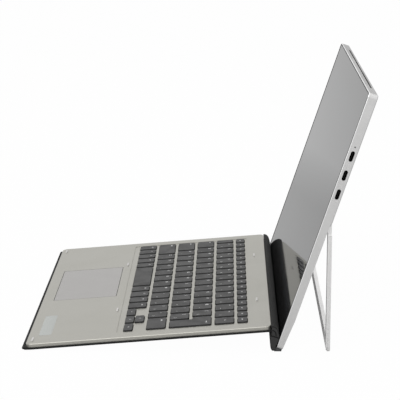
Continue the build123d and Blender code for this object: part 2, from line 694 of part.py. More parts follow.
def fan_housing():
    """The blower's flat case, open to the top edge, with the rotor's shaft."""
    half = FAN_SIZE / 2
    case = block(FAN_X - half, FAN_X + half, FAN_LOW_Y, FAN_HIGH_Y, FAN_Z - half, FAN_Z + half)
    case -= rod_y(FAN_RADIUS, FAN_LOW_Y + FAN_WALL, FAN_HIGH_Y - FAN_WALL, FAN_X, FAN_Z)
    case -= block(
        FAN_X - FAN_RADIUS, FAN_X + FAN_RADIUS, FAN_LOW_Y + FAN_WALL, FAN_HIGH_Y - FAN_WALL,
        FAN_Z, FAN_Z + half + 1,
    )
    case -= rod_y(FAN_RADIUS - 5, FAN_HIGH_Y - FAN_WALL - 1, FAN_HIGH_Y + 1, FAN_X, FAN_Z)
    case += rod_y(PIN_RADIUS, FAN_LOW_Y + FAN_WALL / 2, FAN_HIGH_Y - 2 * FAN_WALL, FAN_X, FAN_Z)
    return case


def fan_rotor():
    """The blower's hub and blades, which turn on the shaft."""
    y_low = FAN_LOW_Y + 2 * FAN_WALL
    y_high = FAN_HIGH_Y - 2 * FAN_WALL
    rotor = rod_y(FAN_HUB_RADIUS, y_low, y_high, FAN_X, FAN_Z)
    blade = block(FAN_HUB_RADIUS - 1, FAN_ROTOR_RADIUS, y_low, y_high, -0.35, 0.35)
    for index in range(FAN_BLADES):
        turn = Pos(FAN_X, 0, FAN_Z) * Rot(0, index * 360 / FAN_BLADES, 0)
        rotor += turn * blade
    return rotor - rod_y(PIN_RADIUS + PIN_CLEARANCE, y_low - 1, y_high + 1, FAN_X, FAN_Z)


def board_card(x_low, width, z_low, height, chips):
    """A small plug-in card lying on the main board."""
    y_low = BOARD_BACK_Y + 0.05
    card = block(x_low, x_low + width, y_low, y_low + 0.6, z_low, z_low + height)
    for index in range(chips):
        chip_low = x_low + 2 + index * (width - 2) / chips
        chip_high = chip_low + (width - 2) / chips - 2
        card += block(chip_low, chip_high, y_low + 0.6, y_low + 1.4, z_low + 3, z_low + height - 3)
    return card


def port_board():
    """The circuit board that carries the data sockets."""
    y_low = PORT_Y + PORT_HEIGHT / 2 + 0.05
    return block(
        PANEL_WIDTH / 2 - 5, CAVITY_X - PLAY, y_low, y_low + BOARD_THICKNESS,
        PORT_FIRST_Z - PORT_WIDTH / 2 - 1, port_places()[-1] + PORT_WIDTH / 2 + 1,
    )


def usb_sockets():
    """The reversible data sockets in the right side, each a shell with a tongue."""
    sockets = []
    x_high = HALF_WIDTH - PLAY
    x_low = x_high - PORT_DEPTH
    for z_mid in port_places():
        socket = side_oblong(PORT_WIDTH, PORT_HEIGHT, x_low, x_high, PORT_Y, z_mid)
        socket -= side_oblong(
            PORT_WIDTH - 2 * PORT_WALL, PORT_HEIGHT - 2 * PORT_WALL, x_low + 1, x_high + 1, PORT_Y, z_mid
        )
        socket += block(
            x_low + 0.5, x_high - 1, PORT_Y - TONGUE_THICKNESS / 2, PORT_Y + TONGUE_THICKNESS / 2,
            z_mid - TONGUE_WIDTH / 2, z_mid + TONGUE_WIDTH / 2,
        )
        sockets.append(socket)
    return group(sockets)


def audio_jack():
    """The headset jack in the left side."""
    x_low = -HALF_WIDTH + FIT_GAP
    x_high = x_low + JACK_LENGTH
    nose = rod_x(JACK_NOSE_RADIUS, x_low, -CAVITY_X + 1, JACK_Y, JACK_Z)
    body = block(
        -CAVITY_X + FIT_GAP, x_high, JACK_Y - JACK_BODY / 2, JACK_Y + JACK_BODY / 2,
        JACK_Z - JACK_BODY / 2, JACK_Z + JACK_BODY / 2,
    )
    nose_end = rod_x(JACK_NOSE_RADIUS, x_low, -CAVITY_X + FIT_GAP, JACK_Y, JACK_Z)
    return (nose & nose_end) + body - rod_x(JACK_BORE_RADIUS, x_low - 1, x_high + 1, JACK_Y, JACK_Z)


def edge_button(z_mid, length, flange_gap):
    """A side button: its cap through the wall and the flange that keeps it in."""
    x_low = -HALF_WIDTH - BUTTON_PROUD
    x_flange = -CAVITY_X + flange_gap
    cap = side_oblong(length, BUTTON_WIDTH, x_low, x_flange + 0.1, BUTTON_Y, z_mid)
    flange = side_oblong(
        length + 2 * FLANGE_MARGIN, BUTTON_WIDTH + 0.6, x_flange, x_flange + FLANGE_THICKNESS,
        BUTTON_Y + 0.2, z_mid,
    )
    return cap + flange


def side_switches():
    """The switches behind the side buttons, on their carriers."""
    switches = []
    power_x = -CAVITY_X + FLANGE_GAP + FLANGE_THICKNESS + SWITCH_GAP
    rocker_x = -CAVITY_X + ROCKER_FLANGE_GAP + FLANGE_THICKNESS + SWITCH_GAP
    reach = VOLUME_LENGTH / 2 - 4
    for x_low, z_mid in ((power_x, POWER_Z), (rocker_x, VOLUME_Z - reach), (rocker_x, VOLUME_Z + reach)):
        switches.append(block(x_low, x_low + 2.0, BAY_FRONT_Y, BUTTON_Y + 1.6, z_mid - 1.5, z_mid + 1.5))
    return group(switches)


def speakers():
    """A speaker box behind each side slit."""
    box = block(
        CAVITY_X - 10.5, CAVITY_X - 0.9, BAY_FRONT_Y, CAVITY_BACK_Y - FIT_GAP,
        SPEAKER_SLIT_LOW_Z + 3, SPEAKER_SLIT_HIGH_Z + 2,
    )
    return group(both_sides(box))


def front_camera():
    """The camera behind the top of the glass."""
    z_mid = TABLET_HEIGHT - 12
    body = block(-4, 4, PANEL_FRONT_Y + 0.8, PLATE_FRONT_Y - 0.05, z_mid - 4, z_mid + 4)
    barrel = rod_y(1.8, PANEL_FRONT_Y, PANEL_FRONT_Y + 1, 0, z_mid)
    return body + barrel


LENS_LOW_Y = TABLET_THICKNESS - 0.6


def rear_camera():
    """The rear camera's module and its ring in the back."""
    body = block(
        REAR_CAMERA_X - 4.4, REAR_CAMERA_X + 4.4, BAY_FRONT_Y, CAVITY_BACK_Y - FIT_GAP,
        REAR_CAMERA_Z - 4.4, REAR_CAMERA_Z + 4.4,
    )
    ring = rod_y(REAR_CAMERA_RADIUS, CAVITY_BACK_Y - 1, TABLET_THICKNESS, REAR_CAMERA_X, REAR_CAMERA_Z)
    bore = rod_y(
        REAR_LENS_RADIUS + 0.05, LENS_LOW_Y - 0.05, TABLET_THICKNESS + 1, REAR_CAMERA_X, REAR_CAMERA_Z
    )
    return body + ring - bore


def rear_camera_lens():
    """The glass over the rear camera."""
    return rod_y(REAR_LENS_RADIUS, LENS_LOW_Y, TABLET_THICKNESS - 0.1, REAR_CAMERA_X, REAR_CAMERA_Z)


def wifi_antennas():
    """Two antennas along the top edge."""
    z_high = TABLET_HEIGHT - SIDE_WALL - 1.2
    strips = [
        block(x_low, x_low + 34, BAY_FRONT_Y, CAVITY_BACK_Y - PLAY, z_high - 5, z_high)
        for x_low in (-62, 5)
    ]
    return group(strips)


def status_light():
    """The light pipe beside the sockets."""
    return rod_x(LIGHT_RADIUS, CAVITY_X - 0.5, HALF_WIDTH - 0.05, PORT_Y, LIGHT_Z)


def vent_grille():
    """The ribbed strip inside the top vent."""
    z_high = TABLET_HEIGHT - VENT_RECESS
    length = VENT_RIGHT_X - VENT_LEFT_X - 2 * FIT_GAP
    width = VENT_WIDTH - 2 * FIT_GAP
    pitch = length / VENT_RIB_COUNT
    rails = block(
        VENT_LEFT_X + FIT_GAP, VENT_RIGHT_X - FIT_GAP, VENT_Y - width / 2, VENT_Y + width / 2,
        z_high - VENT_DEPTH, z_high,
    )
    slots = [
        block(
            VENT_LEFT_X + FIT_GAP + (index + 0.3) * pitch, VENT_LEFT_X + FIT_GAP + (index + 0.7) * pitch,
            VENT_Y - width / 2 + 0.2, VENT_Y + width / 2 - 0.2, z_high - VENT_DEPTH - 1, z_high + 1,
        )
        for index in range(VENT_RIB_COUNT)
    ]
    return rails - slots


def dock_contacts():
    """The contact strip in the bottom edge for the keyboard."""
    half = CONTACT_STRIP_WIDTH / 2
    return block(-half, half, CONTACT_STRIP_Y, CONTACT_STRIP_Y + CONTACT_STRIP_THICKNESS, 0.05, SIDE_WALL)


def bezel_magnets():
    """Magnets behind the lower border of the glass that hold the keyboard's flap."""
    bars = []
    for x_low in MAGNET_LEFTS:
        bars.append(block(x_low, x_low + MAGNET_LENGTH, PANEL_FRONT_Y, PLATE_FRONT_Y - 0.05, 5, 12))
    return group(bars)


def kickstand():
    """The U-shaped kickstand with its side lips and hinge arms, in its closed place."""
    body = stand_frame(0, False)
    lips = side_profile(lip_clearance(FIT_GAP), STAND_SIDE_X - 1, HALF_WIDTH)
    wide = stand_frame(0, True)
    body = body & block(
        -STAND_SIDE_X, STAND_SIDE_X, 0, TABLET_THICKNESS + OUTSIDE, FOOT_Z - 1, LEG_TOP_Z + 1
    )
    for lip in both_sides(lips):
        body += lip & wide
    foot_low = FOOT_Z + FOOT_RADIUS
    capsule = block(
        -TABLET_WIDTH, TABLET_WIDTH, STAND_FRONT_Y - 1, STAND_BACK_Y + 1, foot_low, STAND_AXIS_Z + OUTSIDE
    ) + rod_x(FOOT_RADIUS, -TABLET_WIDTH, TABLET_WIDTH, STAND_AXIS_Y, foot_low)
    body = body & capsule
    barrel_radius = STAND_THICKNESS / 2
    arm = block(ARM_INNER_X, ARM_OUTER_X, STAND_FRONT_Y, STAND_BACK_Y, LEG_TOP_Z - 1, STAND_AXIS_Z)
    arm += rod_x(barrel_radius, ARM_INNER_X, ARM_OUTER_X, STAND_AXIS_Y, STAND_AXIS_Z)
    arm -= rod_x(PIN_RADIUS + PIN_CLEARANCE, ARM_INNER_X - 1, ARM_OUTER_X + 1, STAND_AXIS_Y, STAND_AXIS_Z)
    for side_arm in both_sides(arm):
        body += side_arm
    return body


def kickstand_hinges():
    """The hinge brackets and pins fixed in the shell's pockets."""
    def ear(x_low, x_high):
        return block(
            x_low, x_high, POCKET_Y + 0.02, STAND_BACK_Y - 0.1,
            STAND_AXIS_Z - 3.4, HINGE_POCKET_TOP_Z - 0.02,
        )

    bracket = ear(EAR_INNER_X, EAR_OUTER_X)
    bracket += ear(ARM_OUTER_X + PLAY, STAND_SIDE_X - 0.05)
    bracket += rod_x(PIN_RADIUS, EAR_OUTER_X - 1, ARM_OUTER_X + PLAY + 0.5, STAND_AXIS_Y, STAND_AXIS_Z)
    return group(both_sides(bracket))


# Keyboard pieces, in the keyboard's own frame

KEY_ROW_DEPTH = ROW_PITCH - KEY_GAP
FIELD_LEFT = -KEY_FIELD_WIDTH / 2


def row_front(index):
    """Depth of the rear edge of full key row number index, from 0."""
    return FIRST_ROW_DEPTH + index * ROW_PITCH


def row_keys(first_x, pitches, rear_depth, depth):
    """Key outlines side by side: x range and depth range of each."""
    keys = []
    x_low = first_x
    for pitch in pitches:
        keys.append((x_low + KEY_GAP / 2, x_low + pitch - KEY_GAP / 2, rear_depth, rear_depth + depth))
        x_low += pitch
    return keys


def key_layout():
    """Every key's outline rectangles, by node name."""
    field = KEY_FIELD_WIDTH
    right = FIELD_LEFT + field
    layout = {}
    layout["function_keys"] = row_keys(
        FIELD_LEFT, [field / FUNCTION_KEYS] * FUNCTION_KEYS, FUNCTION_ROW_DEPTH, FUNCTION_KEY_DEPTH
    )
    number_first = field - NUMBER_KEYS * KEY_PITCH
    number_row = row_keys(
        FIELD_LEFT, [number_first] + [KEY_PITCH] * NUMBER_KEYS, row_front(0), KEY_ROW_DEPTH
    )
    layout["number_keys"] = number_row[:-1]
    layout["backspace_key"] = number_row[-1:]
    enter_top = ENTER_TOP_PITCHES * KEY_PITCH
    enter_foot = ENTER_FOOT_PITCHES * KEY_PITCH
    tab_pitch = field - UPPER_KEYS * KEY_PITCH - enter_top
    layout["upper_letter_keys"] = row_keys(
        FIELD_LEFT, [tab_pitch] + [KEY_PITCH] * UPPER_KEYS, row_front(1), KEY_ROW_DEPTH
    )
    caps_pitch = field - MIDDLE_KEYS * KEY_PITCH - enter_foot
    layout["middle_letter_keys"] = row_keys(
        FIELD_LEFT, [caps_pitch] + [KEY_PITCH] * MIDDLE_KEYS, row_front(2), KEY_ROW_DEPTH
    )
    layout["enter_key"] = [
        (right - enter_top + KEY_GAP / 2, right - KEY_GAP / 2,
         row_front(1), row_front(1) + KEY_ROW_DEPTH),
        (right - enter_foot + KEY_GAP / 2, right - KEY_GAP / 2,
         row_front(1), row_front(2) + KEY_ROW_DEPTH),
    ]
    right_shift = RIGHT_SHIFT_PITCHES * KEY_PITCH
    left_shift = field - LOWER_KEYS * KEY_PITCH - right_shift
    lower_row = row_keys(
        FIELD_LEFT, [left_shift] + [KEY_PITCH] * LOWER_KEYS + [right_shift],
        row_front(3), KEY_ROW_DEPTH,
    )
    layout["left_shift_key"] = lower_row[:1]
    layout["lower_letter_keys"] = lower_row[1:-1]
    layout["right_shift_key"] = lower_row[-1:]
    arrow = ARROW_PITCHES * KEY_PITCH
    modifiers = [LEFT_MODIFIER_PITCHES * KEY_PITCH] * LEFT_MODIFIERS
    right_modifiers = [RIGHT_MODIFIER_PITCHES * KEY_PITCH] * RIGHT_MODIFIERS
    space_pitch = field - sum(modifiers) - sum(right_modifiers) - 3 * arrow
    bottom_row = row_keys(
        FIELD_LEFT, modifiers + [space_pitch] + right_modifiers, row_front(4), KEY_ROW_DEPTH
    )
    layout["modifier_keys"] = bottom_row[:LEFT_MODIFIERS] + bottom_row[LEFT_MODIFIERS + 1:]
    layout["space_key"] = bottom_row[LEFT_MODIFIERS:LEFT_MODIFIERS + 1]
    half_depth = (KEY_ROW_DEPTH - ARROW_SPLIT) / 2
    lower_depth = row_front(4) + half_depth + ARROW_SPLIT
    arrows = row_keys(right - 3 * arrow, [arrow] * 3, lower_depth, half_depth)
    layout["side_arrow_keys"] = [arrows[0], arrows[2]]
    layout["down_arrow_key"] = [arrows[1]]
    layout["up_arrow_key"] = row_keys(
        right - 2 * arrow, [arrow], row_front(4), half_depth
    )
    return layout


def key_outline(rectangle, grow, radius):
    """One key's outline as a face at the deck's top, grown all round."""
    x_low, x_high, depth_low, depth_high = rectangle
    plane = Plane(origin=((x_low + x_high) / 2, -(depth_low + depth_high) / 2, 0))
    width = x_high - x_low + 2 * grow
    depth = depth_high - depth_low + 2 * grow
    return plane * RectangleRounded(width, depth, radius)


def key_caps(name, rectangles):
    """The key caps of one node; the enter key's two rectangles join into one cap."""
    bottom = KEY_TOP - KEY_THICKNESS
    if name == "enter_key":
        outline = key_outline(rectangles[0], 0, KEY_CORNER) + key_outline(rectangles[1], 0, KEY_CORNER)
        outlines = [outline]
    else:
        outlines = [key_outline(rectangle, 0, KEY_CORNER) for rectangle in rectangles]
    return group([
        Pos(0, 0, bottom) * extrude(outline, amount=KEY_THICKNESS, taper=KEY_TAPER) for outline in outlines
    ])


def key_centres():
    """Middle of each key as X and depth."""
    centres = []
    for name, rectangles in key_layout().items():
        chosen = rectangles[1:] if name == "enter_key" else rectangles
        for x_low, x_high, depth_low, depth_high in chosen:
            centres.append(((x_low + x_high) / 2, (depth_low + depth_high) / 2))
    return centres


def deck():
    """The keyboard's metal top: plate, side band, key field recess and openings."""
    half = DECK_WIDTH / 2
    shell = flat_slab(-half, half, -DECK_DEPTH, 0, DECK_CORNER, -DECK_BAND, 0)
    shell = fillet(shell.faces().sort_by(Axis.Z)[-1].edges(), DECK_EDGE)
    shell -= flat_slab(
        -half + DECK_WALL, half - DECK_WALL, -DECK_DEPTH + DECK_WALL, -DECK_WALL,
        DECK_CORNER - DECK_WALL, -DECK_BAND - 1, -DECK_PLATE,
    )
    field_half = KEY_FIELD_WIDTH / 2 + FIELD_MARGIN
    shell -= flat_slab(
        -field_half, field_half, -FIELD_FRONT_DEPTH, -FIELD_REAR_DEPTH, 2.0, -FIELD_RECESS, 1
    )
    cuts = []
    for rectangles in key_layout().values():
        for rectangle in rectangles:
            face = key_outline(rectangle, KEY_HOLE_GAP, KEY_CORNER)
            cuts.append(Pos(0, 0, -DECK_PLATE - 1) * extrude(face, amount=DECK_PLATE + 2))
    shell -= cuts
    shell -= flat_slab(
        TOUCHPAD_LEFT_X, TOUCHPAD_RIGHT_X, -TOUCHPAD_FRONT_DEPTH, -TOUCHPAD_REAR_DEPTH,
        TOUCHPAD_CORNER, -DECK_PLATE - 1, 1,
    )
    return shell


DOME_BASE = KEY_TOP - KEY_THICKNESS - KEY_TRAVEL - DOME_GAP - DOME_SHEET
DOME_TOP = KEY_TOP - KEY_THICKNESS - DOME_GAP
CIRCUIT_LOW = DOME_BASE - CIRCUIT_THICKNESS - 0.02
SUPPORT_LOW = CIRCUIT_LOW - SUPPORT_THICKNESS - 0.02


def field_sheet(z_low, z_high, inset):
    """A flat sheet under the whole key field."""
    half = KEY_FIELD_WIDTH / 2 + FIELD_MARGIN + 2 - inset
    return flat_slab(
        -half, half, -FIELD_FRONT_DEPTH - 1 + inset, -FIELD_REAR_DEPTH + 1 - inset, 1.5, z_low, z_high
    )


def rubber_domes():
    """The rubber sheet with a spring dome under each key."""
    sheet = field_sheet(DOME_BASE, DOME_BASE + DOME_SHEET, 0.5)
    height = DOME_TOP - DOME_BASE - DOME_SHEET
    dome = Cone(DOME_RADIUS, DOME_TOP_RADIUS, height)
    z_mid = DOME_BASE + DOME_SHEET + height / 2
    return sheet + [Pos(x_mid, -depth, z_mid) * dome for x_mid, depth in key_centres()]


def touchpad_slab(inset, z_low, z_high):
    """A flat layer of the touchpad."""
    return flat_slab(
        TOUCHPAD_LEFT_X + inset, TOUCHPAD_RIGHT_X - inset,
        -TOUCHPAD_FRONT_DEPTH + inset, -TOUCHPAD_REAR_DEPTH - inset, TOUCHPAD_CORNER - 0.2, z_low, z_high,
    )


def touchpad_bracket():
    """The plate under the touchpad, with its click switch near the front edge."""
    low = -DECK_BAND + 0.05
    plate = touchpad_slab(-4.0, low, low + 0.3)
    x_mid = (TOUCHPAD_LEFT_X + TOUCHPAD_RIGHT_X) / 2
    switch = block(
        x_mid - 3, x_mid + 3, -TOUCHPAD_FRONT_DEPTH + 4, -TOUCHPAD_FRONT_DEPTH + 9, low, low + 0.75
    )
    hinge_top = -TOUCHPAD_SINK - TOUCHPAD_GLASS - TOUCHPAD_BOARD - 0.15
    hinge = block(
        TOUCHPAD_LEFT_X + 6, TOUCHPAD_RIGHT_X - 6, -TOUCHPAD_REAR_DEPTH - 3, -TOUCHPAD_REAR_DEPTH - 1,
        low, hinge_top,
    )
    return plate + switch + hinge


def keyboard_board():
    """The keyboard's small controller board under the palm rest."""
    low = -DECK_BAND + 0.05
    x_left = TOUCHPAD_RIGHT_X + CONTROLLER_GAP
    x_right = DECK_WIDTH / 2 - CONTROLLER_SIDE
    y_front = CONTROLLER_FRONT_BORDER - DECK_DEPTH
    y_rear = -TOUCHPAD_REAR_DEPTH - CONTROLLER_REAR_GAP
    board = block(x_left, x_right, y_front, y_rear, low, low + 0.8)
    y_mid = (y_front + y_rear) / 2
    for index in range(3):
        x_low = x_left + 8 + index * 18
        board += block(x_low, x_low + 8, y_mid - 5, y_mid + 5, low + 0.8, low + 1.6)
    return board


def bumpers():
    """Six oval rubber bumpers that keep the keys off the display when closed."""
    oval = extrude(SlotOverall(BUMPER_LENGTH, BUMPER_WIDTH), amount=BUMPER_HEIGHT)
    places = [
        (BUMPER_X, BUMPER_REAR_DEPTH),
        (BUMPER_X, BUMPER_MID_DEPTH),
        (BUMPER_FRONT_X, BUMPER_FRONT_DEPTH),
    ]
    return group([Pos(side * x_mid, -depth, 0) * oval for x_mid, depth in places for side in (-1, 1)])


def underside_cover():
    """The padded fabric underside, which laps past the deck's front edge."""
    half = COVER_WIDTH / 2
    cover = flat_slab(
        -half, half, -DECK_DEPTH - COVER_FRONT_LAP, 0, DECK_CORNER + 1, -COVER_BOTTOM, -DECK_BAND
    )
    return fillet(cover.faces().sort_by(Axis.Z)[0].edges(), COVER_EDGE)


# Flap and connector pieces, in the tablet's frame

FLAP_HALF = FLAP_WIDTH / 2


def hinge_flap_outline():
    """The flap's side outline: a rounded foot at the connector, a bellied front, a flat back."""
    foot_back = (FLAP_AXIS_Y + FLAP_END_RADIUS, FLAP_AXIS_Z)
    foot_low = (FLAP_AXIS_Y, FLAP_AXIS_Z - FLAP_END_RADIUS)
    foot_front = (FLAP_AXIS_Y - FLAP_END_RADIUS, FLAP_AXIS_Z)
    belly = (FLAP_BELLY_Y, FLAP_BELLY_Z)
    front_top = (FLAP_FRONT_Y, FLAP_TOP_Z)
    back_top = (FLAP_BACK_Y, FLAP_TOP_Z)
    edges = [
        ThreePointArc(foot_back, foot_low, foot_front),
        Line(foot_front, belly),
        Line(belly, front_top),
        Line(front_top, back_top),
        Line(back_top, foot_back),
    ]
    return make_face(edges)


def across_flap(face, half):
    """A side outline extruded across the flap's width."""
    plane = Plane(origin=(-half, 0, 0), x_dir=(0, 1, 0), z_dir=(1, 0, 0))
    return extrude(plane * face, amount=2 * half)


def flap_magnet_boxes(gap):
    """The magnets sealed in the flap, each grown by gap."""
    return [
        block(x_low - gap, x_low + MAGNET_LENGTH + gap, -4.9 - gap, -2.9 + gap, 2.5 - gap, 7.5 + gap)
        for x_low in MAGNET_LEFTS
    ]


def flap_plate_box(gap):
    """The stiffening plate sealed in the flap, grown by gap."""
    half = FLAP_HALF - 4
    return block(-half - gap, half + gap, -2.4 - gap, -1.9 + gap, 0.6 - gap, FLAP_TOP_Z - 1 + gap)


def hinge_flap():
    """The fabric flap that stands against the glass above the connector."""
    flap = across_flap(hinge_flap_outline(), FLAP_HALF)
    for box in flap_magnet_boxes(0.05):
        flap -= box
    return flap - flap_plate_box(0.05)


def hinge_crease():
    """The fabric roll from the flap's top to the keyboard's rear edge."""
    deck_top = keyboard_to_tablet(PLAY, -0.2)
    deck_low = keyboard_to_tablet(PLAY, -COVER_BOTTOM + 0.4)
    back_top = (FLAP_BACK_Y, FLAP_TOP_Z)
    front_top = (FLAP_FRONT_Y, FLAP_TOP_Z)
    edges = [
        ThreePointArc(deck_top, (ROLL_Y, ROLL_Z), back_top),
        Line(back_top, front_top),
        Line(front_top, deck_low),
        Line(deck_low, deck_top),
    ]
    return across_flap(make_face(edges), FLAP_HALF)


def floor_z(y):
    """Height of the floor in the tablet's frame below a point y."""
    lean = radians(LEAN)
    return (y * sin(lean) - FLOOR_DROP) / cos(lean)


SPINE_PAD_HALF = CONTACT_STRIP_WIDTH / 2 - 1


def connector_spine():
    """The block along the tablet's bottom edge that the keyboard hangs from."""
    points = [
        (SPINE_FRONT_Y, floor_z(SPINE_FRONT_Y)),
        (SPINE_BACK_Y, floor_z(SPINE_BACK_Y)),
        (SPINE_BACK_Y, -SPINE_TOP_GAP),
        (SPINE_FRONT_Y, -SPINE_TOP_GAP),
    ]
    spine = side_profile(points, -SPINE_WIDTH / 2, SPINE_WIDTH / 2)
    spine = chamfer(spine.edges().filter_by(Axis.X).sort_by(Axis.Z)[-2:], SPINE_EDGE)
    return spine - block(
        -SPINE_PAD_HALF - 0.05, SPINE_PAD_HALF + 0.05, CONTACT_STRIP_Y + 0.15,
        CONTACT_STRIP_Y + CONTACT_STRIP_THICKNESS - 0.15, -1.2, 1,
    )


def spine_contacts():
    """The contact strip on top of the connector."""
    return block(
        -SPINE_PAD_HALF, SPINE_PAD_HALF, CONTACT_STRIP_Y + 0.2,
        CONTACT_STRIP_Y + CONTACT_STRIP_THICKNESS - 0.2, -1.15, -0.02,
    )


def tablet_nodes():
    """Every fixed or sliding piece of the tablet, in the tablet's frame."""
    return {
        "rear_shell": rear_shell(),
        "cover_glass": cover_glass(),
        "display_gasket": display_gasket(),
        "display_panel": display_panel(),
        "mid_frame": mid_frame(),
        "frame_screws": frame_screws(),
        "battery_pack": battery_pack(),
        "main_board": main_board(),
        "heat_spreader": heat_spreader(),
        "fan_housing": fan_housing(),
        "fan_rotor": fan_rotor(),
        "storage_card": board_card(CARD_LEFT_X, 44, STORAGE_Z, 22, 3),
        "wireless_card": board_card(CARD_LEFT_X, 26, WIRELESS_Z, 20, 1),
        "port_board": port_board(),
        "usb_sockets": usb_sockets(),
        "audio_jack": audio_jack(),
        "power_button": edge_button(POWER_Z, POWER_LENGTH, FLANGE_GAP),
        "volume_rocker": edge_button(VOLUME_Z, VOLUME_LENGTH, ROCKER_FLANGE_GAP),
        "side_switches": side_switches(),
        "speakers": speakers(),
        "front_camera": front_camera(),
        "rear_camera": rear_camera(),
        "rear_camera_lens": rear_camera_lens(),
        "wifi_antennas": wifi_antennas(),
        "status_light": status_light(),
        "vent_grille": vent_grille(),
        "dock_contacts": dock_contacts(),
        "bezel_magnets": bezel_magnets(),
        "kickstand_hinges": kickstand_hinges(),
        "hinge_flap": hinge_flap(),
        "flap_stiffener": flap_plate_box(0),
        "flap_magnets": group(flap_magnet_boxes(0)),
        "hinge_crease": hinge_crease(),
        "connector_spine": connector_spine(),
        "spine_contacts": spine_contacts(),
    }


def keyboard_nodes():
    """Every piece of the keyboard, in the keyboard's frame."""
    pad_high = -TOUCHPAD_SINK
    pad_low = pad_high - TOUCHPAD_GLASS
    nodes = {
        "deck": deck(),
        "underside_cover": underside_cover(),
        "bumpers": bumpers(),
        "touchpad_glass": touchpad_slab(TOUCHPAD_GAP, pad_low, pad_high),
        "touchpad_board": touchpad_slab(TOUCHPAD_GAP + 0.8, pad_low - TOUCHPAD_BOARD, pad_low),
        "touchpad_bracket": touchpad_bracket(),
        "rubber_domes": rubber_domes(),
        "key_circuit": field_sheet(CIRCUIT_LOW, CIRCUIT_LOW + CIRCUIT_THICKNESS, 0.3),
        "key_support_plate": field_sheet(SUPPORT_LOW, SUPPORT_LOW + SUPPORT_THICKNESS, 0),
        "keyboard_board": keyboard_board(),
    }
    for name, rectangles in key_layout().items():
        nodes[name] = key_caps(name, rectangles)
    return nodes


def report_places():
    """Print the joint and mount places in metres, for the record."""
    def show(name, y, z, x=0.0):
        world_y, world_z = lean_point(y, z)
        print(f"{name}: {x / 1000:.6f} {(world_y - CENTRE_Y) / 1000:.6f} {world_z / 1000:.6f}")

    show("kickstand axis", STAND_AXIS_Y, STAND_AXIS_Z)
    show("flap axis", FLAP_AXIS_Y, FLAP_AXIS_Z)
    show("crease axis", CREASE_Y, CREASE_Z)
    show("touchpad axis", *keyboard_to_tablet(-TOUCHPAD_REAR_DEPTH, -TOUCHPAD_SINK - TOUCHPAD_GLASS))
    show("power button", BUTTON_Y, POWER_Z, -HALF_WIDTH)
    show("volume rocker", BUTTON_Y, VOLUME_Z, -HALF_WIDTH + BUTTON_DEPTH / 2)
    show("fan", CAVITY_BACK_Y, FAN_Z, FAN_X)
    show("jack mouth", JACK_Y, JACK_Z, -HALF_WIDTH + FIT_GAP)
    show("spine base", (SPINE_FRONT_Y + SPINE_BACK_Y) / 2, floor_z((SPINE_FRONT_Y + SPINE_BACK_Y) / 2))
    for z_mid in port_places():
        show("socket mouth", PORT_Y, z_mid, HALF_WIDTH - PLAY)
    print(f"slope {SLOPE:.4f} fold {FOLD:.4f} lean {LEAN:.4f} leg {LEG_LENGTH:.3f} centre {CENTRE_Y:.4f}")


def main():
    """Build every piece, place it in the shared frame and write it."""
    os.makedirs("parts", exist_ok=True)
    placed = {name: put(TABLET_PLACE, shape) for name, shape in tablet_nodes().items()}
    placed["kickstand"] = put(STAND_PLACE, kickstand())
    for name, shape in keyboard_nodes().items():
        placed[name] = put(KEYBOARD_PLACE, shape)
    for name, shape in placed.items():
        export_step(shape, f"parts/{name}.step")
    report_places()


main()
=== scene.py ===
"""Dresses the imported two-in-one tablet, open on its kickstand with its keyboard cover in front."""

import logging
import math
from dataclasses import dataclass
from enum import Enum

import bmesh
import bpy
import numpy as np
from mathutils import Euler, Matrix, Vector


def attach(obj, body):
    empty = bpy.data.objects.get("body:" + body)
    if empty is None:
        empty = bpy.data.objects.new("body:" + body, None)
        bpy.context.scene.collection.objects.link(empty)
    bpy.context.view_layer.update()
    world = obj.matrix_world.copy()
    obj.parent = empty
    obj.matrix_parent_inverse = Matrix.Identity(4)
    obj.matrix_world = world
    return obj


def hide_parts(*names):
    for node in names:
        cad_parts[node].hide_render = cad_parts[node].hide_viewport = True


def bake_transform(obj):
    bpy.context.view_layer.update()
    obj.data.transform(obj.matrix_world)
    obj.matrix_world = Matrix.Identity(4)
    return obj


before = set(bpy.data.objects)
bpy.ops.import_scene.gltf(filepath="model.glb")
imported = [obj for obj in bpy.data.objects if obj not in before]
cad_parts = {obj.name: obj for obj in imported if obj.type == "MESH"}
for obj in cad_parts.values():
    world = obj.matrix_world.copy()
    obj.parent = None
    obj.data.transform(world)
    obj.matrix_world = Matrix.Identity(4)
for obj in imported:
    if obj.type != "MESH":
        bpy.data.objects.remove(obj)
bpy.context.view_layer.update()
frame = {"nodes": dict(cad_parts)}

LOG = logging.getLogger("tablet")
MM = 0.001
Colour = tuple[float, float, float]
Spot = tuple[float, float, float]
Lengths = float | np.ndarray
Socket = bpy.types.NodeSocket


def shade(level: float, warmth: float = 0.0) -> Colour:
    """A linear colour from a display level of 0 to 255, warmed by a share of its own strength.

    Args:
        level: The grey's level on a display.
        warmth: Above 0 lifts red and lowers blue by that share, below 0 the other way round.

    Returns:
        Red, green and blue on the linear scale that a shader takes.
    """
    display = level / 255
    linear = display / 12.92 if display <= 0.04045 else ((display + 0.055) / 1.055) ** 2.4
    return linear * (1 + warmth), linear, linear * (1 - warmth)


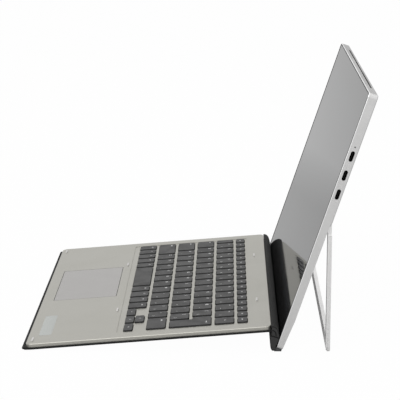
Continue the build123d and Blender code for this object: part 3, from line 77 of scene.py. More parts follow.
@dataclass(frozen=True)
class Attitude:
    """Where the tablet and the keyboard lie in the shared frame, in millimetres and degrees.

    The tablet leans back by lean. The keyboard is turned by fold about the crease, which lies at
    crease_y and crease_z in the tablet's frame, and crease_back behind and crease_drop below the
    keyboard's own origin.
    """

    lean: float = 18.3
    floor_drop: float = 3.6
    centring: float = 68.3863
    fold: float = 23.1296
    crease_y: float = -4.3
    crease_z: float = 15.8
    crease_back: float = 5.3
    crease_drop: float = 3.3

    def tablet(self, x: Lengths, y: Lengths, z: Lengths) -> np.ndarray:
        """Turns tablet-frame points by the lean and moves them to the shared frame.

        Args:
            x: Across the tablet, in millimetres.
            y: Back from the glass.
            z: Up from the tablet's bottom edge.

        Returns:
            The points in metres, with x, y and z last.
        """
        lean = math.radians(self.lean)
        x, y, z = np.broadcast_arrays(x, y, z)
        back = y * math.cos(lean) + z * math.sin(lean) + self.centring
        rise = -y * math.sin(lean) + z * math.cos(lean) + self.floor_drop
        return np.stack([x, back, rise], axis=-1) * MM

    def keyboard(self, x: Lengths, y: Lengths, z: Lengths) -> np.ndarray:
        """Turns keyboard-frame points about the crease and moves them to the shared frame.

        Args:
            x: Across the keyboard, in millimetres.
            y: Back from the deck's rear edge, so negative over the deck.
            z: Up from the deck's top.

        Returns:
            The points in metres, with x, y and z last.
        """
        return self.tablet(x, *self.keyboard_in_flap(y, z))

    def keyboard_in_flap(self, y: Lengths, z: Lengths) -> tuple[Lengths, Lengths]:
        """Tablet-frame y and z of points given in the keyboard's frame, in millimetres.

        Args:
            y: Back from the deck's rear edge.
            z: Up from the deck's top.

        Returns:
            The two tablet-frame coordinates.
        """
        fold = math.radians(self.fold)
        back, rise = y - self.crease_back, z + self.crease_drop
        return (
            self.crease_y + back * math.cos(fold) - rise * math.sin(fold),
            self.crease_z + back * math.sin(fold) + rise * math.cos(fold),
        )


PLACE = Attitude()


# Surfaces


def grid_surface(
    name: str, points: np.ndarray, around: bool, smooth_angle: float = 40.0
) -> bpy.types.Object:
    """A mesh from a grid of points: each cell of neighbouring rows and columns is one face.

    Rows and columns that meet in one point are merged, so that seams and poles are closed.

    Args:
        name: The piece's name.
        points: Array of rows by columns by three, in metres.
        around: Whether the last column joins the first.
        smooth_angle: Edges sharper than this many degrees stay sharp.

    Returns:
        The new object, at the origin and unturned.
    """
    rows, columns = points.shape[:2]
    steps = columns if around else columns - 1
    row, column = np.meshgrid(np.arange(rows - 1), np.arange(steps), indexing="ij")
    following = (column + 1) % columns
    faces = np.stack(
        [
            row * columns + column,
            row * columns + following,
            (row + 1) * columns + following,
            (row + 1) * columns + column,
        ],
        axis=-1,
    ).reshape(-1, 4)
    return mesh_piece(name, points.reshape(-1, 3), faces.tolist(), smooth_angle)


def mesh_piece(
    name: str, points: np.ndarray, faces: list, smooth_angle: float = 40.0
) -> bpy.types.Object:
    """A closed mesh object from points and faces, with doubles merged and faces turned outwards.

    Args:
        name: The piece's name.
        points: Array of points by three, in metres.
        faces: Lists of point numbers.
        smooth_angle: Edges sharper than this many degrees stay sharp.

    Returns:
        The new object, linked to the scene.
    """
    mesh = bpy.data.meshes.new(name)
    mesh.from_pydata(points.tolist(), [], faces)
    editing = bmesh.new()
    editing.from_mesh(mesh)
    bmesh.ops.remove_doubles(editing, verts=editing.verts, dist=2e-7)
    bmesh.ops.dissolve_degenerate(editing, edges=editing.edges, dist=1e-7)
    bmesh.ops.recalc_face_normals(editing, faces=editing.faces)
    editing.to_mesh(mesh)
    editing.free()
    mesh.polygons.foreach_set("use_smooth", np.ones(len(mesh.polygons), dtype=bool))
    mesh.set_sharp_from_angle(angle=math.radians(smooth_angle))
    piece = bpy.data.objects.new(name, mesh)
    bpy.context.scene.collection.objects.link(piece)
    return piece


def closed_curve(knots: list[tuple[float, float]], samples: int) -> np.ndarray:
    """A closed smooth line: on each span, the Catmull-Rom cubic of its four nearest knots.

    Args:
        knots: Points in order round the line.
        samples: Points on each span.

    Returns:
        Array of points by two.
    """
    corner = np.array(knots, float)
    count = len(corner)
    share = np.linspace(0, 1, samples, endpoint=False)
    powers = np.stack([np.ones_like(share), share, share**2, share**3], axis=1)
    basis = 0.5 * np.array([[0, 2, 0, 0], [-1, 0, 1, 0], [2, -5, 4, -1], [-1, 3, -3, 1]])
    near = (np.arange(count)[:, None] + np.arange(-1, 3)[None, :]) % count
    return np.einsum("sp,pk,ckd->csd", powers, basis, corner[near]).reshape(-1, 2)


def ripple(x: np.ndarray, seed: float) -> np.ndarray:
    """A soft uneven wave of about unit height: four sines of unrelated lengths, in millimetres.

    Args:
        x: Places along the wave.
        seed: Start of each sine.

    Returns:
        The wave's heights.
    """
    return (
        np.sin(x / 9.1 + seed)
        + 0.7 * np.sin(x / 5.3 + 2.1 * seed)
        + 0.5 * np.sin(x / 17.7 + 0.6 * seed)
        + 0.3 * np.sin(x / 3.1 + 1.3 * seed)
    ) / 2.5


def bolster(
    name: str, outline: np.ndarray, half_width: float, end_radius: float, sway: float, seed: float
) -> bpy.types.Object:
    """A soft form with one side outline carried across the width and rounded off at both ends.

    At a station x the outline is drawn towards its middle by the share k(x). Over the body k is 1;
    over the last end_radius it falls along a quarter circle; the end then closes to the middle and
    bulges by cap_bulge. The body's outline also swells by sway times a soft wave along x.

    Args:
        name: The piece's name.
        outline: Closed side outline in the tablet's frame, in millimetres.
        half_width: Half the form's width.
        end_radius: Rounding of its two ends.
        sway: Height of the unevenness along its width.
        seed: Start of the wave.

    Returns:
        The new object.
    """
    cap_bulge, body_stations = 0.12, 121
    middle = outline.mean(axis=0)
    reach = np.abs(outline - middle).max()
    turn = np.linspace(0, math.pi / 2, 7)
    end_x = half_width - end_radius * (1 - np.sin(turn))
    end_k = 1 - end_radius * (1 - np.cos(turn)) / reach
    cap_k = np.array([0.75, 0.5, 0.25, 0.0]) * end_k[-1]
    cap_x = half_width + cap_bulge * (1 - (cap_k / end_k[-1]) ** 2) - cap_bulge
    body_x = np.linspace(-end_x[0], end_x[0], body_stations)
    x = np.concatenate([-cap_x[::-1], -end_x[:0:-1], body_x, end_x[1:], cap_x])
    k = np.concatenate([cap_k[::-1], end_k[:0:-1], np.ones(body_x.size), end_k[1:], cap_k])
    away = outline - middle
    length = np.linalg.norm(away, axis=1, keepdims=True)
    along = np.linspace(0, 2 * math.pi, len(outline), endpoint=False)
    swell = sway * ripple(x[:, None], seed) * (0.6 + 0.4 * np.sin(2 * along[None, :]))
    drawn = k[:, None, None]
    grown = middle + away[None, :, :] * (drawn + swell[:, :, None] * drawn / length[None])
    points = PLACE.tablet(x[:, None], grown[..., 0], grown[..., 1])
    return grid_surface(name, points, around=True, smooth_angle=60)


def rounded_rings(
    half_x: float, half_y: float, radius: float, insets: np.ndarray, straight: int
) -> np.ndarray:
    """Nested rounded rectangles: at an inset d the corner arcs have radius max(radius - d, 0).

    Their centres stand at the half sizes less max(radius, d), and the straight sides are divided
    evenly.

    Args:
        half_x: Half width of the outermost ring.
        half_y: Half depth of the outermost ring.
        radius: Its corner radius.
        insets: How far each ring lies inside the outermost.
        straight: Divisions of each straight side.

    Returns:
        Array of rings by points by two.
    """
    quarter = np.linspace(0, math.pi / 2, 9)
    corner = np.arange(4)
    sign_x, sign_y = np.array([1, -1, -1, 1]), np.array([1, 1, -1, -1])
    angle = quarter[None, :] + corner[:, None] * math.pi / 2
    shift = np.maximum(radius, insets)[:, None, None]
    arc = np.maximum(radius - insets, 0)[:, None, None]
    arc_x = sign_x[None, :, None] * (half_x - shift) + arc * np.cos(angle)[None]
    arc_y = sign_y[None, :, None] * (half_y - shift) + arc * np.sin(angle)[None]
    arcs = np.stack([arc_x, arc_y], axis=-1)
    share = np.linspace(0, 1, straight + 2)[1:-1][None, None, :, None]
    start, end = arcs[:, :, -1:, :], np.roll(arcs, -1, axis=1)[:, :, :1, :]
    sides = start * (1 - share) + end * share
    return np.concatenate([arcs, sides], axis=2).reshape(len(insets), -1, 2)


def stitch_run(
    name: str, path: np.ndarray, up: np.ndarray, length: float, gap: float, radius: float
) -> bpy.types.Object:
    """A row of sewn stitches: spindles end to end along a path, each dipping in at its ends.

    Station s runs from -1 to 1 along a stitch. Its radius is the thread's times the root of
    1 - s^2, and its height over the path is arch times the radius times 1 - s^2.

    Args:
        name: The piece's name.
        path: Points along the seam, in metres.
        up: Direction out of the cloth at each point.
        length: A stitch's length, in metres.
        gap: Space between stitches.
        radius: The thread's radius.

    Returns:
        The new object.
    """
    arch, stations, sides = 0.6, 5, 6
    step = np.linalg.norm(np.diff(path, axis=0), axis=1)
    travelled = np.concatenate([[0], np.cumsum(step)])
    count = int((travelled[-1] - gap) // (length + gap))
    centre = gap + length / 2 + np.arange(count) * (length + gap)
    s = np.sin(np.linspace(-math.pi / 2, math.pi / 2, stations))
    place = centre[:, None] + s[None, :] * length / 2

    def sample(values: np.ndarray) -> np.ndarray:
        """Values read along the path at each station."""
        return np.stack([np.interp(place, travelled, values[:, i]) for i in range(3)], axis=-1)

    at, out = sample(path), sample(up)
    out /= np.linalg.norm(out, axis=-1, keepdims=True)
    ahead = at[:, -1:, :] - at[:, :1, :]
    ahead /= np.linalg.norm(ahead, axis=-1, keepdims=True)
    side = np.cross(ahead, out)
    thin = radius * np.sqrt(np.maximum(1 - s**2, 0))
    rise = arch * radius * (1 - s**2)
    turn = np.linspace(0, 2 * math.pi, sides, endpoint=False)
    outwards = rise[:, None] + thin[:, None] * np.cos(turn)
    sideways = thin[:, None] * np.sin(turn)
    ring = (
        at[:, :, None, :]
        + outwards[None, :, :, None] * out[:, :, None, :]
        + sideways[None, :, :, None] * side[:, :, None, :]
    )
    stitch, station, corner = np.meshgrid(
        np.arange(count), np.arange(stations - 1), np.arange(sides), indexing="ij"
    )
    base = (stitch * stations + station) * sides
    above, following = base + sides, (corner + 1) % sides
    faces = np.stack([base + corner, base + following, above + following, above + corner], axis=-1)
    return mesh_piece(name, ring.reshape(-1, 3), faces.reshape(-1, 4).tolist(), 80)


# Node tools


class NodeBench:
    """Adds and links nodes in one tree."""

    def __init__(self, tree: bpy.types.NodeTree) -> None:
        """Starts with an empty tree."""
        self.tree = tree
        tree.nodes.clear()

    def add(self, kind: str, inputs: dict | None = None, **settings: object) -> bpy.types.Node:
        """A new node with its settings and inputs.

        Args:
            kind: The node's type name.
            inputs: Values or sockets by input name or number.
            settings: Attributes of the node.

        Returns:
            The node.
        """
        node = self.tree.nodes.new(kind)
        node.location = (180 * len(self.tree.nodes), 0)
        for key, value in settings.items():
            setattr(node, key, value)
        for key, value in (inputs or {}).items():
            if isinstance(value, bpy.types.NodeSocket):
                self.tree.links.new(value, node.inputs[key])
            else:
                node.inputs[key].default_value = value
        return node

    def math(self, operation: str, first: Socket | float, second: Socket | float = 0.0) -> Socket:
        """The result of one sum on two values."""
        return self.add("ShaderNodeMath", {0: first, 1: second}, operation=operation).outputs[0]

    def vector(self, operation: str, first: object, second: object) -> Socket:
        """The result of one operation on two vectors or colours."""
        inputs = {0: first, 1: second}
        return self.add("ShaderNodeVectorMath", inputs, operation=operation).outputs[0]

    def spread(self, value: Socket, low: Socket | float, high: Socket | float) -> Socket:
        """A value from 0 to 1 spread from low to high."""
        return self.add("ShaderNodeMapRange", {"Value": value, 3: low, 4: high}).outputs["Result"]

    def ramp(self, value: Socket, low: float, high: float) -> Socket:
        """How far a value has come from low to high, from 0 to 1."""
        return self.add("ShaderNodeMapRange", {"Value": value, 1: low, 2: high}).outputs["Result"]

    def place(self) -> Socket:
        """The Object coordinates."""
        return self.add("ShaderNodeTexCoord").outputs["Object"]

    def noise(self, vector: Socket, scale: Socket | float, **more: float) -> Socket:
        """A noise pattern from 0 to 1; more gives other inputs of the node, such as Detail."""
        inputs = {"Vector": vector, "Scale": scale, **more}
        return self.add("ShaderNodeTexNoise", inputs).outputs["Fac"]

    def mix(self, factor: Socket, first: object, second: object) -> Socket:
        """A colour between two, by a factor from 0 to 1."""
        inputs = {"Factor": factor, 6: first, 7: second}
        return self.add("ShaderNodeMix", inputs, data_type="RGBA").outputs[2]

    def group(self, tree: bpy.types.NodeTree, inputs: dict) -> bpy.types.Node:
        """A node group placed with its own values."""
        return self.add("ShaderNodeGroup", inputs, node_tree=tree)


class EffectLibrary:
    """The shader effects that more than one finish uses, each a node group built once."""

    def __init__(self) -> None:
        """Builds each group."""
        self.tone = self._tone()
        self.grain = self._grain()
        self.smudge = self._smudge()
        self.weave = self._weave()

    @staticmethod
    def _new(
        name: str, inputs: dict[str, float | Colour], outputs: dict[str, str]
    ) -> tuple[NodeBench, bpy.types.NodeOutputs]:
        """A group with its sockets and its input node.

        Args:
            name: The group's name.
            inputs: Default values by name; a tuple is a colour.
            outputs: Socket types by name.

        Returns:
            The bench, and the sockets that carry the group's inputs.
        """
        tree = bpy.data.node_groups.new(name, "ShaderNodeTree")
        for key, value in inputs.items():
            kind = "NodeSocketColor" if isinstance(value, tuple) else "NodeSocketFloat"
            socket = tree.interface.new_socket(key, in_out="INPUT", socket_type=kind)
            socket.default_value = (*value, 1.0) if isinstance(value, tuple) else value
        for key, kind in outputs.items():
            tree.interface.new_socket(key, in_out="OUTPUT", socket_type=kind)
        bench = NodeBench(tree)
        return bench, bench.add("NodeGroupInput").outputs

    def _tone(self) -> bpy.types.NodeTree:
        """Colour varied by broad and fine patches: colour times 1 + variation x (patches - 1).

        The fine patches are as many times smaller as finer says.

        Returns:
            The group's tree.
        """
        finer = 21.0
        bench, given = self._new(
            "tone_variation",
            {"Colour": (0.5, 0.5, 0.5), "Variation": 0.1, "Patch Scale": 30.0},
            {"Colour": "NodeSocketColor"},
        )
        place = bench.place()
        broad = bench.noise(place, given["Patch Scale"], Detail=3.0)
        fine = bench.noise(place, bench.math("MULTIPLY", given["Patch Scale"], finer), Detail=2.0)
        patches = bench.math("SUBTRACT", bench.math("ADD", broad, fine), 1.0)
        factor = bench.math("ADD", bench.math("MULTIPLY", patches, given["Variation"]), 1.0)
        bench.add("NodeGroupOutput", {"Colour": bench.vector("MULTIPLY", given["Colour"], factor)})
        return bench.tree

    def _grain(self) -> bpy.types.NodeTree:
        """Height of a blasted or moulded surface: the mean of fine noise and one coarser.

        Returns:
            The group's tree.
        """
        coarser = 0.33
        bench, given = self._new(
            "surface_grain", {"Scale": 2500.0, "Stretch": 1.0}, {"Height": "NodeSocketFloat"}
        )
        drawn = bench.add("ShaderNodeCombineXYZ", {0: given["Stretch"], 1: 1.0, 2: 1.0}).outputs[0]
        along = bench.vector("MULTIPLY", bench.place(), drawn)
        fine = bench.noise(along, given["Scale"], Detail=2.0)
        coarse = bench.noise(along, bench.math("MULTIPLY", given["Scale"], coarser))
        height = bench.math("MULTIPLY", bench.math("ADD", fine, coarse), 0.5)
        bench.add("NodeGroupOutput", {"Height": height})
        return bench.tree

    def _smudge(self) -> bpy.types.NodeTree:
        """Roughness with handling marks: the base, plus an amount in distorted patches.

        Returns:
            The group's tree.
        """
        bench, given = self._new(
            "handling_smudges",
            {"Roughness": 0.3, "Amount": 0.1, "Scale": 25.0},
            {"Roughness": "NodeSocketFloat"},
        )
        patch = bench.noise(bench.place(), given["Scale"], Detail=5.0, Distortion=0.8)
        added = bench.math("MULTIPLY", bench.ramp(patch, 0.42, 0.68), given["Amount"])
        total = bench.math("ADD", given["Roughness"], added)
        bench.add("NodeGroupOutput", {"Roughness": total})
        return bench.tree

    def _weave(self) -> bpy.types.NodeTree:
        """A plain weave: warp threads pass over weft threads in alternate cells of a lattice.

        The warp's height is a sine across the threads, raised where a slower sine along them is
        high, and the weft's is the same turned by a right angle and shifted by one thread. The
        higher one shows. The threads wander by up to wander metres, and are counted along y + z.

        Returns:
            The group's tree.
        """
        wander, climb, fibre_share = 0.0006, 1.02, 0.1
        bench, given = self._new(
            "plain_weave",
            {"Thread": 0.0006, "Fuzz": 0.2},
            {"Height": "NodeSocketFloat", "Warp": "NodeSocketFloat"},
        )
        place = bench.place()
        stray = bench.math("SUBTRACT", bench.noise(place, 220.0, Detail=2.0), 0.5)
        shaken = bench.math("MULTIPLY", stray, wander)
        x, y, z = bench.add("ShaderNodeSeparateXYZ", {0: place}).outputs
        flat = bench.math("ADD", y, bench.math("MULTIPLY", z, climb))
        rate = bench.math("DIVIDE", math.pi, given["Thread"])
        across = bench.math("MULTIPLY", bench.math("ADD", x, shaken), rate)
        along = bench.math("MULTIPLY", bench.math("ADD", flat, shaken), rate)
        sine_a, sine_b = bench.math("SINE", across), bench.math("SINE", along)
        cosines = bench.math("MULTIPLY", bench.math("COSINE", across), bench.math("COSINE", along))
        over = bench.math("MULTIPLY", sine_a, sine_b)
        high, low = bench.math("ADD", over, 1.0), bench.math("SUBTRACT", 1.0, over)
        warp = bench.math("MULTIPLY", bench.math("ABSOLUTE", sine_a), high)
        weft = bench.math("MULTIPLY", bench.math("ABSOLUTE", sine_b), low)
        height = bench.math("MULTIPLY", bench.math("MAXIMUM", warp, weft), 0.5)
        fibre = bench.math("MULTIPLY", bench.math("MULTIPLY", cosines, given["Fuzz"]), fibre_share)
        fuzz = bench.math("MULTIPLY", bench.noise(place, 5200.0, Detail=1.0), given["Fuzz"])
        total = bench.math("ADD", height, bench.math("ADD", fuzz, fibre))
        passes = bench.math("GREATER_THAN", warp, weft)
        bench.add("NodeGroupOutput", {"Height": total, "Warp": passes})
        return bench.tree


# Finishes


class Relief(Enum):
    """What the small relief of a surface is."""

    BLASTED = "fine even grain"
    DRAWN = "grain drawn out along the width"
    WOVEN = "plain weave"
    SMOOTH = "polished"


@dataclass(frozen=True)
class Finish:
    """One finish: its colour, gloss and small relief. Lengths are in metres."""

    name: str
    colour: Colour
    roughness: float
    metallic: float = 0.0
    relief: Relief = Relief.BLASTED
    relief_scale: float = 2500.0
    relief_depth: float = 0.00002
    relief_strength: float = 0.3
    drawn_stretch: float = 0.04
    variation: float = 0.06
    patch_scale: float = 30.0
    smudges: float = 0.08
    smudge_scale: float = 25.0
    ior: float = 1.45
    specular: float = 0.5
    grazing_tint: float = 1.0
    coat: float = 0.0
    coat_roughness: float = 0.1
    sheen: float = 0.0
    sheen_roughness: float = 0.4

    def material(self, effects: EffectLibrary) -> bpy.types.Material:
        """The finish as a node material.

        Args:
            effects: The shared node groups.

        Returns:
            The material.
        """
        made = bpy.data.materials.new(self.name)
        made.use_nodes = True
        bench = NodeBench(made.node_tree)
        tone = bench.group(
            effects.tone,
            {
                "Colour": (*self.colour, 1),
                "Variation": self.variation,
                "Patch Scale": self.patch_scale,
            },
        )
        smudge = bench.group(
            effects.smudge,
            {"Roughness": self.roughness, "Amount": self.smudges, "Scale": self.smudge_scale},
        )
        surface = bench.add(
            "ShaderNodeBsdfPrincipled",
            {
                "Base Color": self.coloured(bench, effects, tone.outputs["Colour"]),
                "Roughness": smudge.outputs["Roughness"],
                "Metallic": self.metallic,
                "IOR": self.ior,
                "Specular IOR Level": self.specular,
                "Specular Tint": (*[self.grazing_tint] * 3, 1),
                "Coat Weight": self.coat,
                "Coat Roughness": self.coat_roughness,
                "Sheen Weight": self.sheen,
                "Sheen Roughness": self.sheen_roughness,
            },
        )
        height = self.height(bench, effects)
        if height is not None:
            bump = bench.add(
                "ShaderNodeBump",
                {"Strength": self.relief_strength, "Distance": self.relief_depth, "Height": height},
            )
            made.node_tree.links.new(bump.outputs["Normal"], surface.inputs["Normal"])
        bench.add("ShaderNodeOutputMaterial", {"Surface": surface.outputs["BSDF"]})
        return made

    def coloured(self, bench: NodeBench, effects: EffectLibrary, base: Socket) -> Socket:
        """The base colour, before any pattern of a special finish."""
        return base

    def height(self, bench: NodeBench, effects: EffectLibrary) -> Socket | None:
        """The height that the finish's relief gives, or None for a polished one.

        Args:
            bench: The material's tree.
            effects: The shared node groups.

        Returns:
            The height's socket, or None.
        """
        if self.relief is Relief.SMOOTH:
            return None
        if self.relief is Relief.WOVEN:
            return bench.group(effects.weave, {"Thread": 1 / self.relief_scale}).outputs["Height"]
        stretch = self.drawn_stretch if self.relief is Relief.DRAWN else 1.0
        inputs = {"Scale": self.relief_scale, "Stretch": stretch}
        return bench.group(effects.grain, inputs).outputs["Height"]


@dataclass(frozen=True)
class WovenFinish(Finish):
    """A woven finish whose two thread directions differ a little in shade."""

    weft_shade: float = 0.72

    def coloured(self, bench: NodeBench, effects: EffectLibrary, base: Socket) -> Socket:
        """Weft cells are darker than warp cells.

        Args:
            bench: The material's tree.
            effects: The shared node groups.
            base: The finish's colour with its patches.

        Returns:
            The colour's socket.
        """
        weave = bench.group(effects.weave, {"Thread": 1 / self.relief_scale})
        factor = bench.spread(weave.outputs["Warp"], self.weft_shade, 1.0)
        return bench.vector("MULTIPLY", base, factor)


@dataclass(frozen=True)
class ScreenFinish(Finish):
    """Cover glass: black print round the edge and a faintly lighter panel inside it."""

    panel_colour: Colour = (0.006, 0.007, 0.009)
    panel_half_width: float = 0.135
    panel_low: float = 0.0290
    panel_high: float = 0.2020

    def coloured(self, bench: NodeBench, effects: EffectLibrary, base: Socket) -> Socket:
        """The panel's colour inside its rectangle and the print's outside it.

        Args:
            bench: The material's tree.
            effects: The shared node groups; not used.
            base: The finish's colour with its patches.

        Returns:
            The colour's socket.
        """
        x, _, z = bench.add("ShaderNodeSeparateXYZ", {0: bench.place()}).outputs
        across = bench.math("LESS_THAN", bench.math("ABSOLUTE", x), self.panel_half_width)
        above = bench.math("GREATER_THAN", z, self.panel_low)
        below = bench.math("LESS_THAN", z, self.panel_high)
        inside = bench.math("MULTIPLY", across, bench.math("MULTIPLY", above, below))
        return bench.mix(inside, base, (*self.panel_colour, 1))


@dataclass(frozen=True)
class KeycapFinish(Finish):
    """Moulded matt charcoal keycaps whose sideways faces carry painted shade: near-black skirts
    under tops in the keys' own colour.
    """

    # Painted shade: near-black colour for the keys' sideways faces, standing in for the shade on
    # their sides and in the gaps.
    skirt_painted_shade: Colour = (0.0035, 0.0035, 0.0038)
    shaded_below: float = 0.6
    unshaded_above: float = 0.95

    def coloured(self, bench: NodeBench, effects: EffectLibrary, base: Socket) -> Socket:
        """Painted shade, near-black, on faces that point sideways, and the base on those that point
        up.

        A face's level is the cosine of its angle to the deck's upward direction.

        Args:
            bench: The material's tree.
            effects: The shared node groups; not used.
            base: The finish's colour with its patches.

        Returns:
            The colour's socket.
        """
        upward = (PLACE.keyboard(0.0, 0.0, 1.0) - PLACE.keyboard(0.0, 0.0, 0.0)) / MM
        facing = bench.add("ShaderNodeTexCoord").outputs["Normal"]
        inputs = {0: facing, 1: tuple(upward)}
        level = bench.add("ShaderNodeVectorMath", inputs, operation="DOT_PRODUCT").outputs["Value"]
        top = bench.ramp(level, self.shaded_below, self.unshaded_above)
        return bench.mix(top, (*self.skirt_painted_shade, 1), base)


# One finish for each material slot in the record.
FINISHES: dict[str, Finish] = {
    "shell_metal": Finish(
        "silver_shell", shade(206, 0.005), 0.36, 1.0, relief_scale=3200, relief_strength=0.22,
        variation=0.05, patch_scale=24, smudges=0.07, grazing_tint=0.45,
    ),
    "frame_metal": Finish(
        "cast_frame", shade(120), 0.45, 1.0, Relief.DRAWN, 900, relief_strength=0.4, variation=0.1,
    ),
    "deck_metal": Finish(
        "warm_grey_deck", (0.401, 0.394, 0.360), 0.42, 1.0, relief_scale=3600, relief_strength=0.25,
        variation=0.05, patch_scale=18, smudges=0.08, smudge_scale=16,
    ),
    "steel": Finish("bright_steel", shade(178), 0.28, 1.0, Relief.DRAWN, 1400, relief_strength=0.3),
    "copper": Finish(
        "heat_copper", (0.62, 0.28, 0.15), 0.32, 1.0, Relief.DRAWN, 1100, variation=0.16,
    ),
    "contact_gold": Finish(
        "contact_gold", (0.83, 0.55, 0.2), 0.22, 1.0, relief_scale=4000, variation=0.08,
    ),
    "screen_glass": ScreenFinish(
        "cover_glass_black", (0.004, 0.004, 0.0045), 0.03, relief=Relief.SMOOTH, variation=0.2,
        smudges=0.035, smudge_scale=14, ior=1.5,
    ),
    "touchpad_surface": Finish(
        "touchpad_satin", shade(163, 0.025), 0.38, 0.9, relief_scale=5200, relief_strength=0.05,
        variation=0.02, patch_scale=18, smudges=0.03, smudge_scale=30, ior=1.5,
    ),
    "lens_glass": Finish(
        "lens_glass", (0.01, 0.011, 0.016), 0.04, relief=Relief.SMOOTH, ior=1.6, coat=1.0,
        coat_roughness=0.02,
    ),
    "gasket_rubber": Finish("seam_rubber", shade(28), 0.6, relief_scale=2600, variation=0.12),
    "bumper_rubber": Finish(
        "bumper_rubber", shade(196, 0.02), 0.5, relief_scale=3000, variation=0.1,
    ),
    "panel_black": Finish("panel_black", shade(20), 0.3, relief_scale=1500, variation=0.1),
    "battery_wrap": Finish(
        "battery_wrap", shade(58, -0.02), 0.38, relief=Relief.DRAWN, relief_scale=500,
        relief_depth=0.0001, variation=0.1,
    ),
    "board_green": Finish(
        "board_green", (0.018, 0.09, 0.045), 0.35, relief_scale=700, relief_depth=0.0001,
        variation=0.35, patch_scale=160, coat=0.3,
    ),
    "dark_plastic": Finish("dark_plastic", shade(42), 0.5, relief_scale=2200, relief_strength=0.35),
    "spine_plastic": Finish(
        "spine_plastic", shade(64, -0.03), 0.48, relief_scale=1800, relief_strength=0.4,
        variation=0.08,
    ),
    # The keycaps' material paints shade on the keys' sideways faces.
    "key_plastic": KeycapFinish(
        "charcoal_key", shade(46, 0.01), 0.5, relief_scale=3800, relief_strength=0.35,
        variation=0.08, patch_scale=60, smudges=0.12, smudge_scale=70,
    ),
    "film": Finish(
        "clear_film", shade(196, -0.015), 0.4, relief_scale=900, variation=0.05, smudges=0.1,
    ),
    "light_pipe": Finish("light_pipe", shade(62), 0.25, relief=Relief.SMOOTH, coat=0.4),
    "fabric": WovenFinish(
        "charcoal_weave", shade(20, 0.01), 0.85, relief=Relief.WOVEN, relief_scale=1700,
        relief_depth=0.00012, relief_strength=0.7, variation=0.22, patch_scale=45, smudges=0.06,
        specular=0.3, sheen=0.06, sheen_roughness=0.45,
    ),
}
# CAD nodes that look different from the rest of their slot.
NODE_FINISHES: dict[str, Finish] = {
    # Painted shade: the grille near-black, standing in for the shade inside the vent slot.
    "vent_grille": Finish(
        "vent_painted_shade", shade(9), 0.7, relief_scale=1200, variation=0.1, specular=0.2,
    ),
    # Painted shade: the sockets near-black, standing in for the shade inside them.
    "usb_sockets": Finish(
        "socket_painted_shade", shade(12), 0.6, 0.3, relief_scale=1800, variation=0.1, specular=0.2,
    ),
    # Painted shade: the plate under the keys near-black, standing in for the shade in the gaps
    # between keys.
    "key_support_plate": Finish(
        "plate_painted_shade", shade(16), 0.55, 0.4, relief_scale=1400, specular=0.2,
    ),
    # Painted light: the shell's silver made lighter on the stand, whose faces catch more light.
    "kickstand": Finish(
        "silver_stand_painted_light", shade(231, 0.005), 0.34, 1.0, relief_scale=3200, relief_strength=0.22,
        variation=0.04, patch_scale=24, smudges=0.06,
    ),
}
# Polished chamfer of the rim; its colour, lighter than the shell's, is painted highlight.
EDGE_HIGHLIGHT_FINISH = Finish(
    "polished_edge_painted_highlight", shade(236), 0.26, 1.0, relief_scale=4200, relief_strength=0.1,
    variation=0.03, smudges=0.04,
)
THREAD_FINISH = Finish(
    "sewing_thread", shade(38, 0.01), 0.75, relief=Relief.DRAWN, relief_scale=2600, sheen=0.1,
)
# Painted shadow: near-black cloth for the tubes that stand in for the shade along the fold at each
# end of the roll.
FOLD_SHADOW_FINISH = Finish(
    "fold_line_painted_shadow", shade(9), 0.8, relief=Relief.DRAWN, relief_scale=1500, specular=0.2,
)
# Painted light: a lighter copy of the fabric for the ends of the flap and the roll, standing in for
# the light that falls on them.
LIT_END_FINISH = Finish(
    "cloth_end_painted_light", shade(47, 0.01), 0.7, relief=Relief.WOVEN, relief_scale=2100,
    relief_depth=0.00006, variation=0.2, patch_scale=90, specular=0.3,
)
LEGEND_FINISH = Finish("key_legend", shade(214), 0.55, relief_scale=4000, variation=0.04)
LABEL_FINISH = Finish(
    "plain_label", (0.405, 0.42, 0.405), 0.5, relief_scale=1500, relief_strength=0.1,
    variation=0.05, smudges=0.1,
)


class Paint:
    """Keeps one material for each finish, and gives it to pieces."""

    def __init__(self, effects: EffectLibrary) -> None:
        """Starts with no materials made."""
        self.effects = effects
        self.made: dict[str, bpy.types.Material] = {}

    def of(self, finish: Finish) -> bpy.types.Material:
        """The material of a finish, made on first use.

        Args:
            finish: The finish asked for.

        Returns:
            Its material.
        """
        if finish.name not in self.made:
            self.made[finish.name] = finish.material(self.effects)
        return self.made[finish.name]

    def dress(self, piece: bpy.types.Object, finish: Finish) -> None:
        """Gives a new piece its material.

        Args:
            piece: The new piece.
            finish: Its finish.
        """
        piece.data.materials.clear()
        piece.data.materials.append(self.of(finish))

    def dress_frame(self, nodes: dict[str, bpy.types.Object]) -> None:
        """Puts each CAD node's finish into its material slots, by the slot's name.

        Args:
            nodes: The CAD nodes by name.
        """
        for name, node in nodes.items():
            for holder in node.material_slots:
                base = holder.material.name.split(".")[0]
                if base not in FINISHES:
                    raise ValueError(f"{name} has a slot {base} with no finish")
                holder.material = self.of(NODE_FINISHES.get(name, FINISHES[base]))


# Sub-assemblies


